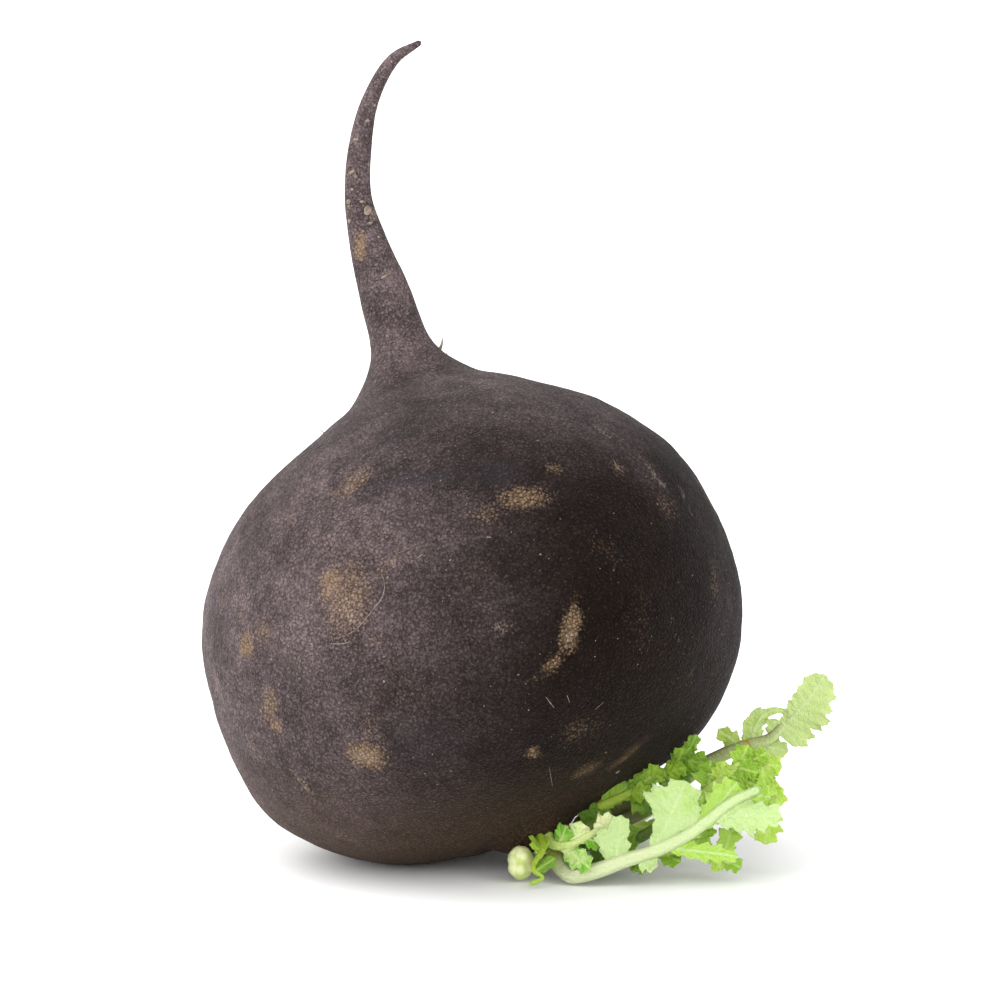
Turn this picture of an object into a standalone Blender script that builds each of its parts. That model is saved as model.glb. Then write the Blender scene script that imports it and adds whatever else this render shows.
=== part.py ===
"""A round black radish: the root resting on its crown with its tail up, a tuft of young leaves below.

Metres, +Z up. The origin is the middle of the small flat spot that the root rests on, +X runs towards
the leaves and +Y away from the side that shows the leaf tuft.
"""

import math
from dataclasses import dataclass

import bmesh
import bpy
from mathutils import Matrix, Vector

MM = 0.001

# Root body: in its own plane "across" runs to the right and "up" to the tail, from the middle
GIRTH_RADIUS = 49.8
SHOULDER_RISE = 44.2
BASE_DEPTH = 40.0
BASE_FULLNESS = 2.75
GIRTH_DROP = 1.0
BASE_SLANT = 0.07
SLANT_DEPTH = 24.0
AXIS_LEAN_SIDE = math.radians(17.0)
PLANE_LEAN_BACK = math.radians(20.0)
ROOT_MIDDLE = Vector((11.3, -5.1, 45.57))

# Crown boss that the leaves grow from: distance below the root's middle along its axis, radius
CROWN_PROFILE = (
    (45.0, 0.0),
    (44.8, 2.4),
    (44.0, 4.8),
    (42.7, 6.8),
    (41.5, 8.4),
    (40.8, 10.4),
    (40.5, 13.0),
)
BASE_START_RADIUS = 16.0
SHOULDER_END_RADIUS = 35.0
SHOULDER_SHIFT = 0.85

# Neck and tail: across, towards the back, up, radius
TAIL_STATIONS = (
    (-9.3, 0.0, 32.5, 30.2),
    (-9.9, 0.0, 38.6, 19.6),
    (-10.1, 0.0, 41.8, 13.3),
    (-10.9, 0.0, 44.8, 9.6),
    (-11.7, 0.0, 47.8, 7.1),
    (-12.6, 0.1, 51.0, 5.6),
    (-15.5, 0.6, 60.9, 4.7),
    (-18.4, 1.2, 70.0, 3.6),
    (-20.4, 1.4, 79.1, 2.55),
    (-20.1, 1.0, 88.2, 2.2),
    (-18.1, 0.2, 97.2, 1.6),
    (-13.9, -0.6, 104.6, 1.15),
    (-9.1, -1.0, 107.7, 0.55),
)

# Swellings and dents: direction across, back, up from the middle; height; spread
SWELLINGS = (
    ((-0.22, 0.08, -0.97), 1.4, math.radians(18)),
    ((-0.62, 0.0, -0.78), -0.5, math.radians(18)),
    ((-0.75, 0.0, 0.66), -1.35, math.radians(17)),
    ((0.95, 0.0, -0.32), 1.3, math.radians(17)),
    ((0.84, 0.0, -0.55), 1.9, math.radians(12)),
    ((-0.20, -0.90, 0.35), -0.9, math.radians(28)),
    ((0.45, -0.85, -0.20), 0.8, math.radians(24)),
    ((0.35, 0.90, 0.30), 1.2, math.radians(32)),
    ((-0.70, 0.70, 0.10), -1.0, math.radians(24)),
)

# Dry rootlets: where each starts (across, back, up), the way it points, its length
ROOTLETS = (
    ((-5.6, -1.2, 49.2), (0.35, -0.2, 0.9), 2.9),
    ((-5.4, 1.0, 48.6), (0.8, 0.2, 0.5), 1.8),
    ((-1.9, -0.6, 45.4), (0.2, -0.3, 0.9), 1.7),
    ((-26.4, -0.5, 34.2), (-0.6, -0.1, 0.7), 1.5),
)
ROOTLET_RADIUS = 0.55
ROOTLET_SUNK = 1.2
ROOTLET_SIDES = 5
TAIL_TIP = 0.5

# Rings stand square to the root's axis down to the first radius, and square to the tail from the second
THICK_RING = 9.0
SLIM_RING = 5.0

ROOT_SIDES = 52
BASE_RINGS = 11
SHOULDER_RINGS = 7
NECK_SPANS = 6
NECK_STEPS = 2
TAIL_STEPS = 3

# Leaves
BLADE_THICKNESS = 0.8
FLOOR_SKIM = 0.1
LEAF_ROOT_GAP = 0.35
RIB_SIDES = 8
RIB_STEPS = 2
LOBE_SUNK = 1.2
WIDE_COLUMNS = (-1.0, -0.5, 0.0, 0.5, 1.0)
NARROW_COLUMNS = (-1.0, 0.0, 1.0)
WIDE_FROM = 2.6
TOOTH_DEPTH = 0.2
OUTLINE_TOOTH = 0.1
HOOK_EASE = 1.6
TOOTH_HOOK = 0.45
CUPPING = 0.12
RUFFLES = 3.0
RUFFLE_HEIGHT = 0.16
UNION_SOLVER = "EXACT"

# The bud of unopened leaves
BUD_MIDDLE = (20.9, -26.0, 3.8)
BUD_RADII = (2.6, 2.5, 3.2)
BUD_KNOBS = 0.08
BUD_WAIST = 0.16
BUD_WAIST_RISE = -0.05
BUD_WAIST_SPREAD = 0.24
BUD_RINGS = 8
BUD_SIDES = 12

ROOT_SKIN = (0.045, 0.036, 0.034)
LEAF_GREEN = (0.42, 0.66, 0.16)
BUD_CREAM = (0.74, 0.80, 0.42)


@dataclass
class Lobe:
    """One toothed lobe of a leaf: where on the rib it starts, which way it points, its size in mm.

    Its outline may be given as rows of share of the length, half width towards the rib's base (or above
    the rib's tip) and half width towards the rib's tip.
    """

    along: float
    side: int
    sweep: float
    length: float
    breadth: float
    lean: float = 0.0
    curl: float = 0.0
    teeth: int = 3
    hook: float = 0.0
    fan: float = 1.25
    outline: tuple = ()

    def columns(self):
        """Where the blade's points stand across it, from margin to margin."""
        return WIDE_COLUMNS if self.breadth >= WIDE_FROM else NARROW_COLUMNS


@dataclass
class Leaf:
    """A young leaf: its rib's line from the crown, the way its blade faces, and its lobes."""

    name: str
    rib: tuple
    stalk: float
    tip: float
    face: tuple
    lobes: tuple
    flatness: float = 0.8


LEAVES = (
    Leaf(
        "leaf_front",
        ((26.4, -21.5, 8.0), (27.6, -24.8, 4.1), (30.0, -28.2, 2.1), (34.0, -30.0, 2.95), (39.8, -30.4, 5.1),
         (45.1, -30.5, 6.9), (50.9, -30.4, 9.6), (55.1, -30.0, 12.6), (59.3, -29.6, 15.8), (64.0, -29.0, 17.9)),
        1.8, 0.9, (0.0, -1.0, 0.1),
        (
            Lobe(0.415, 1, 64, 9.0, 2.8, 2, -8, 5, outline=(
                (0.0, 1.7, 1.5), (0.25, 2.6, 2.1), (0.5, 3.9, 2.3), (0.62, 4.0, 2.4), (0.75, 2.4, 1.9),
                (0.9, 1.4, 1.3), (1.0, 0.3, 0.3))),
            Lobe(0.556, 1, 44, 14.1, 4.6, 3, -10, 7, outline=(
                (0.0, 0.9, 0.9), (0.2, 1.4, 1.5), (0.42, 2.2, 3.7), (0.5, 2.9, 4.6), (0.6, 5.2, 5.3),
                (0.7, 5.2, 5.3), (0.78, 4.9, 4.2), (0.85, 2.9, 3.6), (0.93, 2.6, 2.7), (1.0, 0.5, 0.7))),
            Lobe(0.640, 1, 20, 9.4, 2.3, -8, -10, 4),
            Lobe(0.755, 1, 13, 9.8, 2.8, -5, -16, 5),
            Lobe(0.500, -1, 44, 4.2, 1.6, 20, 10, 3),
            Lobe(0.590, -1, 29, 14.0, 1.4, 12, 0, 6),
            Lobe(0.800, -1, 36, 12.8, 2.6, 12, 8, 6),
            Lobe(0.960, -1, 30, 4.4, 1.8, 16, 20, 3),
        ),
    ),
    Leaf(
        "leaf_tall",
        ((30.8, -16.6, 9.4), (35.6, -14.2, 8.2), (43.6, -12.4, 10.9), (53.8, -12.0, 18.7), (57.9, -12.0, 21.0),
         (63.0, -12.0, 23.1), (66.4, -12.0, 24.0), (68.9, -12.2, 26.3)),
        1.8, 0.9, (0.0, -1.0, 0.15),
        (
            Lobe(0.665, 1, 118, 5.6, 1.5, 8, 24, 3),
            Lobe(0.735, 1, 74, 12.0, 1.9, 4, 8, 5, hook=-165, outline=(
                (0.0, 1.5, 1.3), (0.2, 2.1, 1.8), (0.42, 1.9, 1.6), (0.56, 1.1, 1.0), (0.72, 0.6, 0.6),
                (1.0, 0.4, 0.4))),
            Lobe(0.180, 1, 40, 5.6, 2.2, 6, 8, 3),
            Lobe(0.300, -1, 46, 5.6, 2.2, 4, 8, 3),
            Lobe(0.640, -1, 60, 4.4, 1.9, -22, -14, 3),
            Lobe(0.740, -1, 30, 7.0, 1.7, -14, -12, 4),
            Lobe(0.900, 1, 44, 3.4, 1.4, 4, 12, 3),
            Lobe(0.960, 0, 0, 14.0, 4.2, 4, 6, 8, hook=20, outline=(
                (0.0, 0.8, 2.4), (0.15, 1.1, 4.9), (0.33, 1.8, 5.0), (0.48, 2.5, 5.3), (0.57, 2.7, 4.8),
                (0.69, 2.8, 4.7), (0.78, 2.7, 3.6), (0.87, 2.6, 2.9), (0.94, 1.4, 1.9), (1.0, 0.5, 0.6))),
        ),
    ),
    Leaf(
        "leaf_arched",
        ((32.2, -21.0, 10.4), (35.6, -22.4, 7.0), (41.6, -22.0, 7.3), (49.6, -21.8, 12.1), (57.0, -21.5, 18.0),
         (61.6, -21.2, 21.4), (65.2, -21.0, 20.9), (66.9, -21.0, 16.8), (66.3, -21.0, 11.8)),
        1.4, 0.6, (0.1, -1.0, 0.1),
        (
            Lobe(0.340, 1, 60, 5.2, 2.0, -4, 10, 3),
            Lobe(0.470, 1, 48, 5.6, 2.3, 4, 16, 3),
            Lobe(0.540, -1, 56, 6.6, 2.4, 8, 14, 3),
            Lobe(0.600, 1, 40, 4.4, 1.9, 2, 20, 3),
            Lobe(0.660, -1, 62, 6.2, 2.3, 10, 10, 4),
            Lobe(0.740, 1, 30, 3.8, 1.7, 2, 12, 3),
            Lobe(0.780, -1, 50, 6.4, 2.2, 6, 8, 4),
            Lobe(0.860, 1, 14, 4.4, 1.5, 2, 12, 3),
            Lobe(0.920, -1, 40, 5.0, 1.8, 6, 8, 3),
            Lobe(0.960, 0, 0, 7.2, 2.3, 3, 10, 4),
        ),
    ),
    Leaf(
        "leaf_inner",
        ((34.8, -19.4, 12.7), (37.8, -19.2, 13.9), (42.1, -19.0, 16.0), (46.7, -18.8, 18.6), (49.7, -18.6, 20.9),
         (51.5, -18.4, 23.1)),
        1.3, 0.6, (0.2, -1.0, 0.3),
        (
            Lobe(0.360, -1, 62, 5.4, 2.3, 6, 10, 3),
            Lobe(0.300, 1, 9, 9.0, 1.3, 12, 0, 5),
            Lobe(0.600, -1, 54, 5.8, 2.4, 6, 12, 3),
            Lobe(0.640, 1, 11, 7.0, 1.2, 12, 0, 4),
            Lobe(0.820, -1, 46, 5.4, 2.0, 6, 12, 3),
            Lobe(0.960, 0, 0, 4.0, 1.1, 0, 0, 3, hook=24),
        ),
    ),
    Leaf(
        "leaf_curled",
        ((25.6, -23.0, 8.8), (26.8, -25.6, 7.2), (29.4, -27.0, 7.2), (32.6, -27.2, 8.7), (35.4, -26.6, 10.2)),
        1.1, 0.6, (-0.1, -1.0, 0.35),
        (
            Lobe(0.350, 1, 66, 4.4, 1.8, 6, 40, 3),
            Lobe(0.440, -1, 38, 8.0, 1.8, 12, 6, 4),
            Lobe(0.640, 1, 52, 4.0, 1.9, 4, 36, 3),
            Lobe(0.760, -1, 50, 3.8, 1.6, 8, 24, 3),
            Lobe(0.950, 0, 0, 4.4, 1.8, 6, 36, 3),
        ),
    ),
    Leaf(
        "leaf_low",
        ((29.2, -20.9, 9.2), (31.2, -23.6, 4.8), (35.2, -25.4, 2.9), (40.4, -26.0, 4.4), (46.2, -26.0, 5.7),
         (51.4, -26.0, 6.2), (56.0, -26.0, 5.4), (59.0, -26.0, 3.9)),
        1.3, 0.6, (0.0, -1.0, 0.3),
        (
            Lobe(0.280, 1, 76, 6.4, 2.1, 4, 0, 3),
            Lobe(0.400, 1, 70, 7.4, 2.4, -1, 0, 3),
            Lobe(0.440, -1, 40, 4.2, 1.7, 12, 0, 3),
            Lobe(0.580, -1, 36, 4.2, 1.6, 12, 0, 3),
            Lobe(0.600, 1, 56, 6.4, 2.2, -4, 10, 3),
            Lobe(0.740, 1, 66, 6.0, 2.2, -4, 10, 3),
            Lobe(0.930, 1, 96, 8.0, 1.7, 2, 6, 4),
            Lobe(0.860, -1, 46, 3.4, 1.4, 10, 0, 3),
            Lobe(0.960, 0, 0, 3.4, 1.4, 6, 10, 3),
        ),
    ),
    Leaf(
        "leaf_back",
        ((28.0, -16.2, 7.4), (29.6, -12.0, 5.2), (33.2, -4.0, 2.1), (38.0, 4.0, 2.6), (43.0, 11.0, 4.2),
         (47.0, 17.0, 5.4)),
        1.4, 0.7, (0.5, -0.4, 1.0),
        (
            Lobe(0.440, 1, 56, 6.5, 2.4, 2, 16, 3),
            Lobe(0.500, -1, 54, 5.8, 2.3, 4, 12, 3),
            Lobe(0.680, 1, 50, 6.2, 2.4, 2, 16, 3),
            Lobe(0.720, -1, 50, 6.2, 2.3, 4, 12, 3),
            Lobe(0.960, 0, 0, 6.4, 2.7, 4, 16, 4),
        ),
    ),
    Leaf(
        "leaf_sliver",
        ((24.4, -24.4, 8.8), (24.9, -28.4, 6.6), (23.4, -30.4, 4.4), (23.4, -31.2, 3.4), (24.9, -31.5, 2.2),
         (22.8, -31.9, 1.1)),
        0.7, 0.4, (0.0, -1.0, 0.0),
        (
            Lobe(0.240, -1, 150, 4.4, 1.5, -4, 10, 3),
            Lobe(0.620, 1, 80, 4.6, 1.2, 4, 10, 3),
        ),
    ),
)


def smooth_through(rows, steps):
    """Points on a centripetal Catmull-Rom curve through the rows; steps gives the points for each span."""
    rows = [Vector(row) for row in rows]
    ends = [2 * rows[0] - rows[1], *rows, 2 * rows[-1] - rows[-2]]
    made = []
    for i, count in enumerate(steps):
        p0, p1, p2, p3 = ends[i : i + 4]
        t1 = (p1 - p0).length ** 0.5
        t2 = t1 + (p2 - p1).length ** 0.5
        t3 = t2 + (p3 - p2).length ** 0.5
        for k in range(count):
            t = t1 + (t2 - t1) * k / count
            a1 = p0 * ((t1 - t) / t1) + p1 * (t / t1)
            a2 = p1 * ((t2 - t) / (t2 - t1)) + p2 * ((t - t1) / (t2 - t1))
            a3 = p2 * ((t3 - t) / (t3 - t2)) + p3 * ((t - t2) / (t3 - t2))
            b1 = a1 * ((t2 - t) / t2) + a2 * (t / t2)
            b2 = a2 * ((t3 - t) / (t3 - t1)) + a3 * ((t - t1) / (t3 - t1))
            made.append(b1 * ((t2 - t) / (t2 - t1)) + b2 * ((t - t1) / (t2 - t1)))
    made.append(rows[-1])
    return made


def axis_point(height):
    """A point on the root's axis, in its own plane."""
    return Vector((-math.sin(AXIS_LEAN_SIDE) * height, 0.0, math.cos(AXIS_LEAN_SIDE) * height))


def root_stations():
    """Centre and radius of each ring of the root, from the crown's pole to the tip of the tail."""
    across = Vector((math.cos(AXIS_LEAN_SIDE), 0.0, math.sin(AXIS_LEAN_SIDE)))
    rows = [(*axis_point(-depth), radius) for depth, radius in CROWN_PROFILE]
    start = math.acos(BASE_START_RADIUS / GIRTH_RADIUS)
    for k in range(BASE_RINGS):
        angle = start * (1 - k / BASE_RINGS)
        depth = BASE_DEPTH * math.sin(angle) ** (2 / BASE_FULLNESS)
        rows.append((*axis_point(-GIRTH_DROP - depth), GIRTH_RADIUS * math.cos(angle)))
    end = math.acos(SHOULDER_END_RADIUS / GIRTH_RADIUS)
    for k in range(SHOULDER_RINGS):
        angle = end * k / (SHOULDER_RINGS - 1)
        height = SHOULDER_RISE * math.sin(angle) - GIRTH_DROP
        middle = axis_point(height) + across * (SHOULDER_SHIFT * math.sin(angle))
        rows.append((*middle, GIRTH_RADIUS * math.cos(angle)))
    neck = [NECK_STEPS] * NECK_SPANS + [TAIL_STEPS] * (len(TAIL_STATIONS) - NECK_SPANS)
    joined = [rows[-1], *TAIL_STATIONS]
    return [Vector(row) for row in rows[:-1]] + smooth_through(joined, neck)


def swollen(point):
    """The point moved out by the swellings, in by the dents and down to the left on the slanting base."""
    reach = min(1.0, point.length / GIRTH_RADIUS)
    outward = point.normalized()
    rise = 0.0
    for direction, height, spread in SWELLINGS:
        rise += height * math.exp(-((outward.angle(Vector(direction)) / spread) ** 2))
    up = axis_point(1.0)
    across = Vector((up.z, 0.0, -up.x))
    share = min(1.0, max(0.0, -point.dot(up) / SLANT_DEPTH))
    slant = BASE_SLANT * point.dot(across) * share * share * (3 - 2 * share)
    return point + outward * rise * reach + up * slant


def placed(point):
    """A point in the root's own plane, leant back and lifted to where the root stands, in metres."""
    return (Matrix.Rotation(-PLANE_LEAN_BACK, 3, "X") @ point + ROOT_MIDDLE) * MM


def bridge(bm, lower, upper):
    """Quads between two rings of the same number of points."""
    count = len(lower)
    for i in range(count):
        j = (i + 1) % count
        bm.faces.new((lower[i], lower[j], upper[j], upper[i]))


def cap(bm, ring, point, outward):
    """Closes a ring with a fan to a point; outward says which way round the faces go."""
    pole = bm.verts.new(point)
    count = len(ring)
    for i in range(count):
        j = (i + 1) % count
        bm.faces.new((pole, ring[i], ring[j]) if outward else (pole, ring[j], ring[i]))


def root_form():
    """The root with its tail and crown boss as one closed form, before its resting spot is cut."""
    bm = bmesh.new()
    stations = root_stations()
    rings = []
    for i in range(1, len(stations)):
        before = stations[i - 1].to_3d()
        after = stations[min(i + 1, len(stations) - 1)].to_3d()
        slim = min(1.0, max(0.0, (THICK_RING - stations[i][3]) / (THICK_RING - SLIM_RING)))
        tangent = axis_point(1.0).lerp((after - before).normalized(), slim).normalized()
        side = Vector((0.0, 1.0, 0.0)).cross(tangent).normalized()
        depth = tangent.cross(side)
        ring = []
        for k in range(ROOT_SIDES):
            turn = 2 * math.pi * k / ROOT_SIDES
            spoke = side * math.cos(turn) + depth * math.sin(turn)
            ring.append(bm.verts.new(placed(swollen(stations[i].to_3d() + spoke * stations[i][3]))))
        rings.append(ring)
    for lower, upper in zip(rings, rings[1:]):
        bridge(bm, lower, upper)
    cap(bm, rings[0], placed(swollen(stations[0].to_3d())), False)
    tip = stations[-1].to_3d() + (stations[-1] - stations[-2]).to_3d().normalized() * TAIL_TIP
    cap(bm, rings[-1], placed(tip), True)
    bmesh.ops.recalc_face_normals(bm, faces=bm.faces)
    return bm


def finish(name, bm, colour, roughness):
    """An object in the scene from a bmesh, smooth shaded, with its own material."""
    mesh = bpy.data.meshes.new(name)
    bm.to_mesh(mesh)
    bm.free()
    mesh.shade_smooth()
    material = bpy.data.materials.new(name)
    material.use_nodes = True
    shader = material.node_tree.nodes["Principled BSDF"]
    shader.inputs["Base Color"].default_value = (*colour, 1.0)
    shader.inputs["Roughness"].default_value = roughness
    shader.inputs["Metallic"].default_value = 0.0
    mesh.materials.append(material)
    made = bpy.data.objects.new(name, mesh)
    bpy.context.scene.collection.objects.link(made)
    return made


def keep_largest(mesh):
    """Drops the specks that a union leaves inside, so that one body stays."""
    bm = bmesh.new()
    bm.from_mesh(mesh)
    left = set(bm.verts)
    bodies = []
    while left:
        stack = [left.pop()]
        body = set(stack)
        while stack:
            for edge in stack.pop().link_edges:
                for vert in edge.verts:
                    if vert in left:
                        left.discard(vert)
                        body.add(vert)
                        stack.append(vert)
        bodies.append(body)
    bodies.sort(key=len)
    specks = [vert for body in bodies[:-1] for vert in body]
    bmesh.ops.delete(bm, geom=specks, context="VERTS")
    bm.to_mesh(mesh)
    bm.free()


def fuse(body, pieces):
    """Joins the pieces into the body with one Boolean union, applied, and removes them."""
    group = bpy.data.collections.new(body.name + "_pieces")
    bpy.context.scene.collection.children.link(group)
    for piece in pieces:
        bpy.context.scene.collection.objects.unlink(piece)
        group.objects.link(piece)
    union = body.modifiers.new("fuse", "BOOLEAN")
    union.operation = "UNION"
    union.operand_type = "COLLECTION"
    union.collection = group
    union.solver = UNION_SOLVER
    bpy.context.view_layer.update()
    graph = bpy.context.evaluated_depsgraph_get()
    joined = bpy.data.meshes.new_from_object(body.evaluated_get(graph))
    body.modifiers.clear()
    body.data = joined
    keep_largest(joined)
    for piece in pieces:
        bpy.data.objects.remove(piece)
    bpy.data.collections.remove(group)


def rootlet(name, start, direction, length):
    """A dry rootlet: a slim pointed spike that starts inside the skin."""
    bm = bmesh.new()
    along = Vector(direction).normalized()
    side = along.orthogonal().normalized()
    depth = along.cross(side)
    base = Vector(start) - along * ROOTLET_SUNK
    ring = []
    for k in range(ROOTLET_SIDES):
        turn = 2 * math.pi * k / ROOTLET_SIDES
        spoke = (side * math.cos(turn) + depth * math.sin(turn)) * ROOTLET_RADIUS
        ring.append(bm.verts.new(placed(base + spoke)))
    cap(bm, ring, placed(Vector(start) + along * length), True)
    bm.faces.new(ring[::-1])
    bmesh.ops.recalc_face_normals(bm, faces=bm.faces)
    return finish(name, bm, ROOT_SKIN, 0.6)


def make_root():
    """The root, with its rootlets fused on and a small flat spot cut where it rests."""
    root = finish("root", root_form(), ROOT_SKIN, 0.55)
    spikes = [rootlet(f"rootlet_{i}", *row) for i, row in enumerate(ROOTLETS)]
    fuse(root, spikes)
    bm = bmesh.new()
    bm.from_mesh(root.data)
    everything = bm.verts[:] + bm.edges[:] + bm.faces[:]
    cut = bmesh.ops.bisect_plane(
        bm, geom=everything, dist=1e-7, plane_co=(0, 0, 0), plane_no=(0, 0, -1), clear_outer=True
    )
    rim = [edge for edge in cut["geom_cut"] if isinstance(edge, bmesh.types.BMEdge)]
    bmesh.ops.edgeloop_fill(bm, edges=rim)
    bmesh.ops.recalc_face_normals(bm, faces=bm.faces)
    bm.to_mesh(root.data)
    bm.free()
    return root


def make_clearance():
    """A slightly larger copy of the root that trims the leaf bases to sit just off the crown."""
    bm = root_form()
    bm.normal_update()
    for vert in bm.verts:
        vert.co += vert.normal * LEAF_ROOT_GAP * MM
    cutter = finish("root_clearance", bm, ROOT_SKIN, 0.5)
    cutter.hide_render = True
    cutter.display_type = "WIRE"
    return cutter


def rib_frames(leaf):
    """Points, directions and upper side of a leaf's rib, in millimetres."""
    points = smooth_through(leaf.rib, [RIB_STEPS] * (len(leaf.rib) - 1))
    frames = []
    face = Vector(leaf.face).normalized()
    for i, point in enumerate(points):
        ahead = points[min(i + 1, len(points) - 1)] - points[max(i - 1, 0)]
        tangent = ahead.normalized()
        upper = face.cross(tangent).normalized()
        frames.append((point, tangent, upper, tangent.cross(upper)))
    return frames


def stalk_radius(leaf, share):
    """The rib's half width at a share of its length, widest just off the crown."""
    return leaf.stalk + (leaf.tip - leaf.stalk) * share**0.8


def make_rib(leaf, frames):
    """The leaf's stalk and rib as a tapered tube, a little flatter on the way through."""
    bm = bmesh.new()
    rings = []
    last = len(frames) - 1
    for i, (point, _, upper, outward) in enumerate(frames):
        radius = stalk_radius(leaf, i / last)
        ring = []
        for k in range(RIB_SIDES):
            turn = 2 * math.pi * k / RIB_SIDES
            spoke = upper * math.cos(turn) + outward * math.sin(turn) * leaf.flatness
            ring.append(bm.verts.new((point + spoke * radius) * MM))
        rings.append(ring)
    for lower, upper_ring in zip(rings, rings[1:]):
        bridge(bm, lower, upper_ring)
    cap(bm, rings[0], frames[0][0] * MM, False)
    cap(bm, rings[-1], (frames[-1][0] + frames[-1][1] * leaf.tip) * MM, True)
    bmesh.ops.recalc_face_normals(bm, faces=bm.faces)
    return finish(leaf.name, bm, LEAF_GREEN, 0.5)


def half_widths(lobe, share):
    """Half widths of a lobe, past the rib's tip side and its base side, at a share of its length."""
    if not lobe.outline:
        foot = 0.24 * (1 - share)
        half = lobe.breadth * (foot + math.sin(math.pi * share**lobe.fan * 0.93) ** 0.75)
        return half, half
    for (low, base_low, tip_low), (high, base_high, tip_high) in zip(lobe.outline, lobe.outline[1:]):
        if share <= high:
            mix = (share - low) / (high - low)
            return tip_low + (tip_high - tip_low) * mix, base_low + (base_high - base_low) * mix
    return lobe.outline[-1][2], lobe.outline[-1][1]


def lobe_rows(lobe, frames):
    """The middle surface of a lobe: for each row, its points across and the way it faces there."""
    last = len(frames) - 1
    where = lobe.along * last
    low = min(int(where), last - 1)
    mix = where - low
    start = frames[low][0].lerp(frames[low + 1][0], mix)
    tangent, upper, outward = (frames[low][n].lerp(frames[low + 1][n], mix).normalized() for n in (1, 2, 3))
    sweep, lean = math.radians(lobe.sweep), math.radians(lobe.lean)
    flat = tangent * math.cos(sweep) + upper * (lobe.side * math.sin(sweep))
    across = upper * (lobe.side * math.cos(sweep)) - tangent * math.sin(sweep)
    if lobe.side == 0:
        flat, across = tangent, upper
    along = flat * math.cos(lean) + outward * math.sin(lean)
    normal = outward * math.cos(lean) - flat * math.sin(lean)
    rows = []
    columns = lobe.columns()
    count = 2 * lobe.teeth
    centre = start - along * LOBE_SUNK
    step = (lobe.length + LOBE_SUNK) / count
    for i in range(count + 1):
        share = i / count
        turn = math.radians(lobe.hook) * share**HOOK_EASE
        heading = along * math.cos(turn) + across * (math.sin(turn) * (lobe.side or 1))
        sideways = across * math.cos(turn) - along * (math.sin(turn) * (lobe.side or 1))
        bend = math.radians(lobe.curl) * share**1.3
        forward = heading * math.cos(bend) + normal * math.sin(bend)
        facing = normal * math.cos(bend) - heading * math.sin(bend)
        is_tip = i % 2 == 1
        tip_side, base_side = half_widths(lobe, share)
        tooth = 1.0
        if 0 < i < count:
            depth = TOOTH_DEPTH if not lobe.outline else OUTLINE_TOOTH
            tooth += depth if is_tip else -depth
        row = []
        for v in columns:
            half = (tip_side if v < 0 else base_side) * tooth
            ruffle = math.sin(RUFFLES * math.pi * share + lobe.along * 9) * abs(v) ** 1.5
            lift = (CUPPING * v * v + RUFFLE_HEIGHT * ruffle) * min(half, lobe.breadth)
            point = centre + sideways * (v * half) + facing * lift
            if is_tip and abs(v) == 1:
                point += forward * step * TOOTH_HOOK
            point.z = max(point.z, BLADE_THICKNESS / 2 + FLOOR_SKIM)
            row.append(point)
        rows.append((row, facing))
        centre = centre + forward * step
    return rows


def make_lobe(name, lobe, frames):
    """One lobe as a thin closed sheet, split into triangles alike on both faces."""
    bm = bmesh.new()
    rows = lobe_rows(lobe, frames)
    front = [[bm.verts.new((p + f * BLADE_THICKNESS / 2) * MM) for p in row] for row, f in rows]
    back = [[bm.verts.new((p - f * BLADE_THICKNESS / 2) * MM) for p in row] for row, f in rows]
    columns = len(lobe.columns())
    for i in range(len(rows) - 1):
        for k in range(columns - 1):
            for grid, flip in ((front, False), (back, True)):
                a, b = grid[i][k], grid[i][k + 1]
                c, d = grid[i + 1][k + 1], grid[i + 1][k]
                for corners in ((a, b, c), (a, c, d)):
                    bm.faces.new(corners[::-1] if flip else corners)
        for k in (0, columns - 1):
            bm.faces.new((front[i][k], front[i + 1][k], back[i + 1][k], back[i][k]))
    for i in (0, len(rows) - 1):
        for k in range(columns - 1):
            bm.faces.new((front[i][k], front[i][k + 1], back[i][k + 1], back[i][k]))
    bmesh.ops.recalc_face_normals(bm, faces=bm.faces)
    return finish(name, bm, LEAF_GREEN, 0.5)


def make_bud(cutter):
    """The knobbly bud of unopened leaves beside the stalks."""
    bm = bmesh.new()
    middle = Vector(BUD_MIDDLE)
    rings = []
    for i in range(1, BUD_RINGS):
        polar = math.pi * i / BUD_RINGS
        ring = []
        for k in range(BUD_SIDES):
            turn = 2 * math.pi * k / BUD_SIDES
            knob = 1 + BUD_KNOBS * math.sin(3 * turn + 1.1) * math.sin(3 * polar + 0.6)
            knob -= BUD_WAIST * math.exp(-(((-math.cos(polar) - BUD_WAIST_RISE) / BUD_WAIST_SPREAD) ** 2))
            spoke = Vector((math.sin(polar) * math.cos(turn), math.sin(polar) * math.sin(turn), -math.cos(polar)))
            ring.append(bm.verts.new((middle + spoke * Vector(BUD_RADII) * knob) * MM))
        rings.append(ring)
    for lower, upper in zip(rings, rings[1:]):
        bridge(bm, lower, upper)
    cap(bm, rings[0], (middle - Vector((0.0, 0.0, BUD_RADII[2]))) * MM, False)
    cap(bm, rings[-1], (middle + Vector((0.0, 0.0, BUD_RADII[2]))) * MM, True)
    bmesh.ops.recalc_face_normals(bm, faces=bm.faces)
    trim_by(finish("leaf_bud", bm, BUD_CREAM, 0.6), cutter)


def trim_by(made, cutter):
    """Cuts away what comes closer to the root than the gap."""
    trim = made.modifiers.new("trim", "BOOLEAN")
    trim.operation = "DIFFERENCE"
    trim.object = cutter


def make_leaf(leaf, cutter):
    """A leaf: its rib with the lobes fused on, trimmed to sit just off the crown."""
    frames = rib_frames(leaf)
    rib = make_rib(leaf, frames)
    fuse(rib, [make_lobe(f"{leaf.name}_lobe_{i}", lobe, frames) for i, lobe in enumerate(leaf.lobes)])
    trim_by(rib, cutter)


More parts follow.
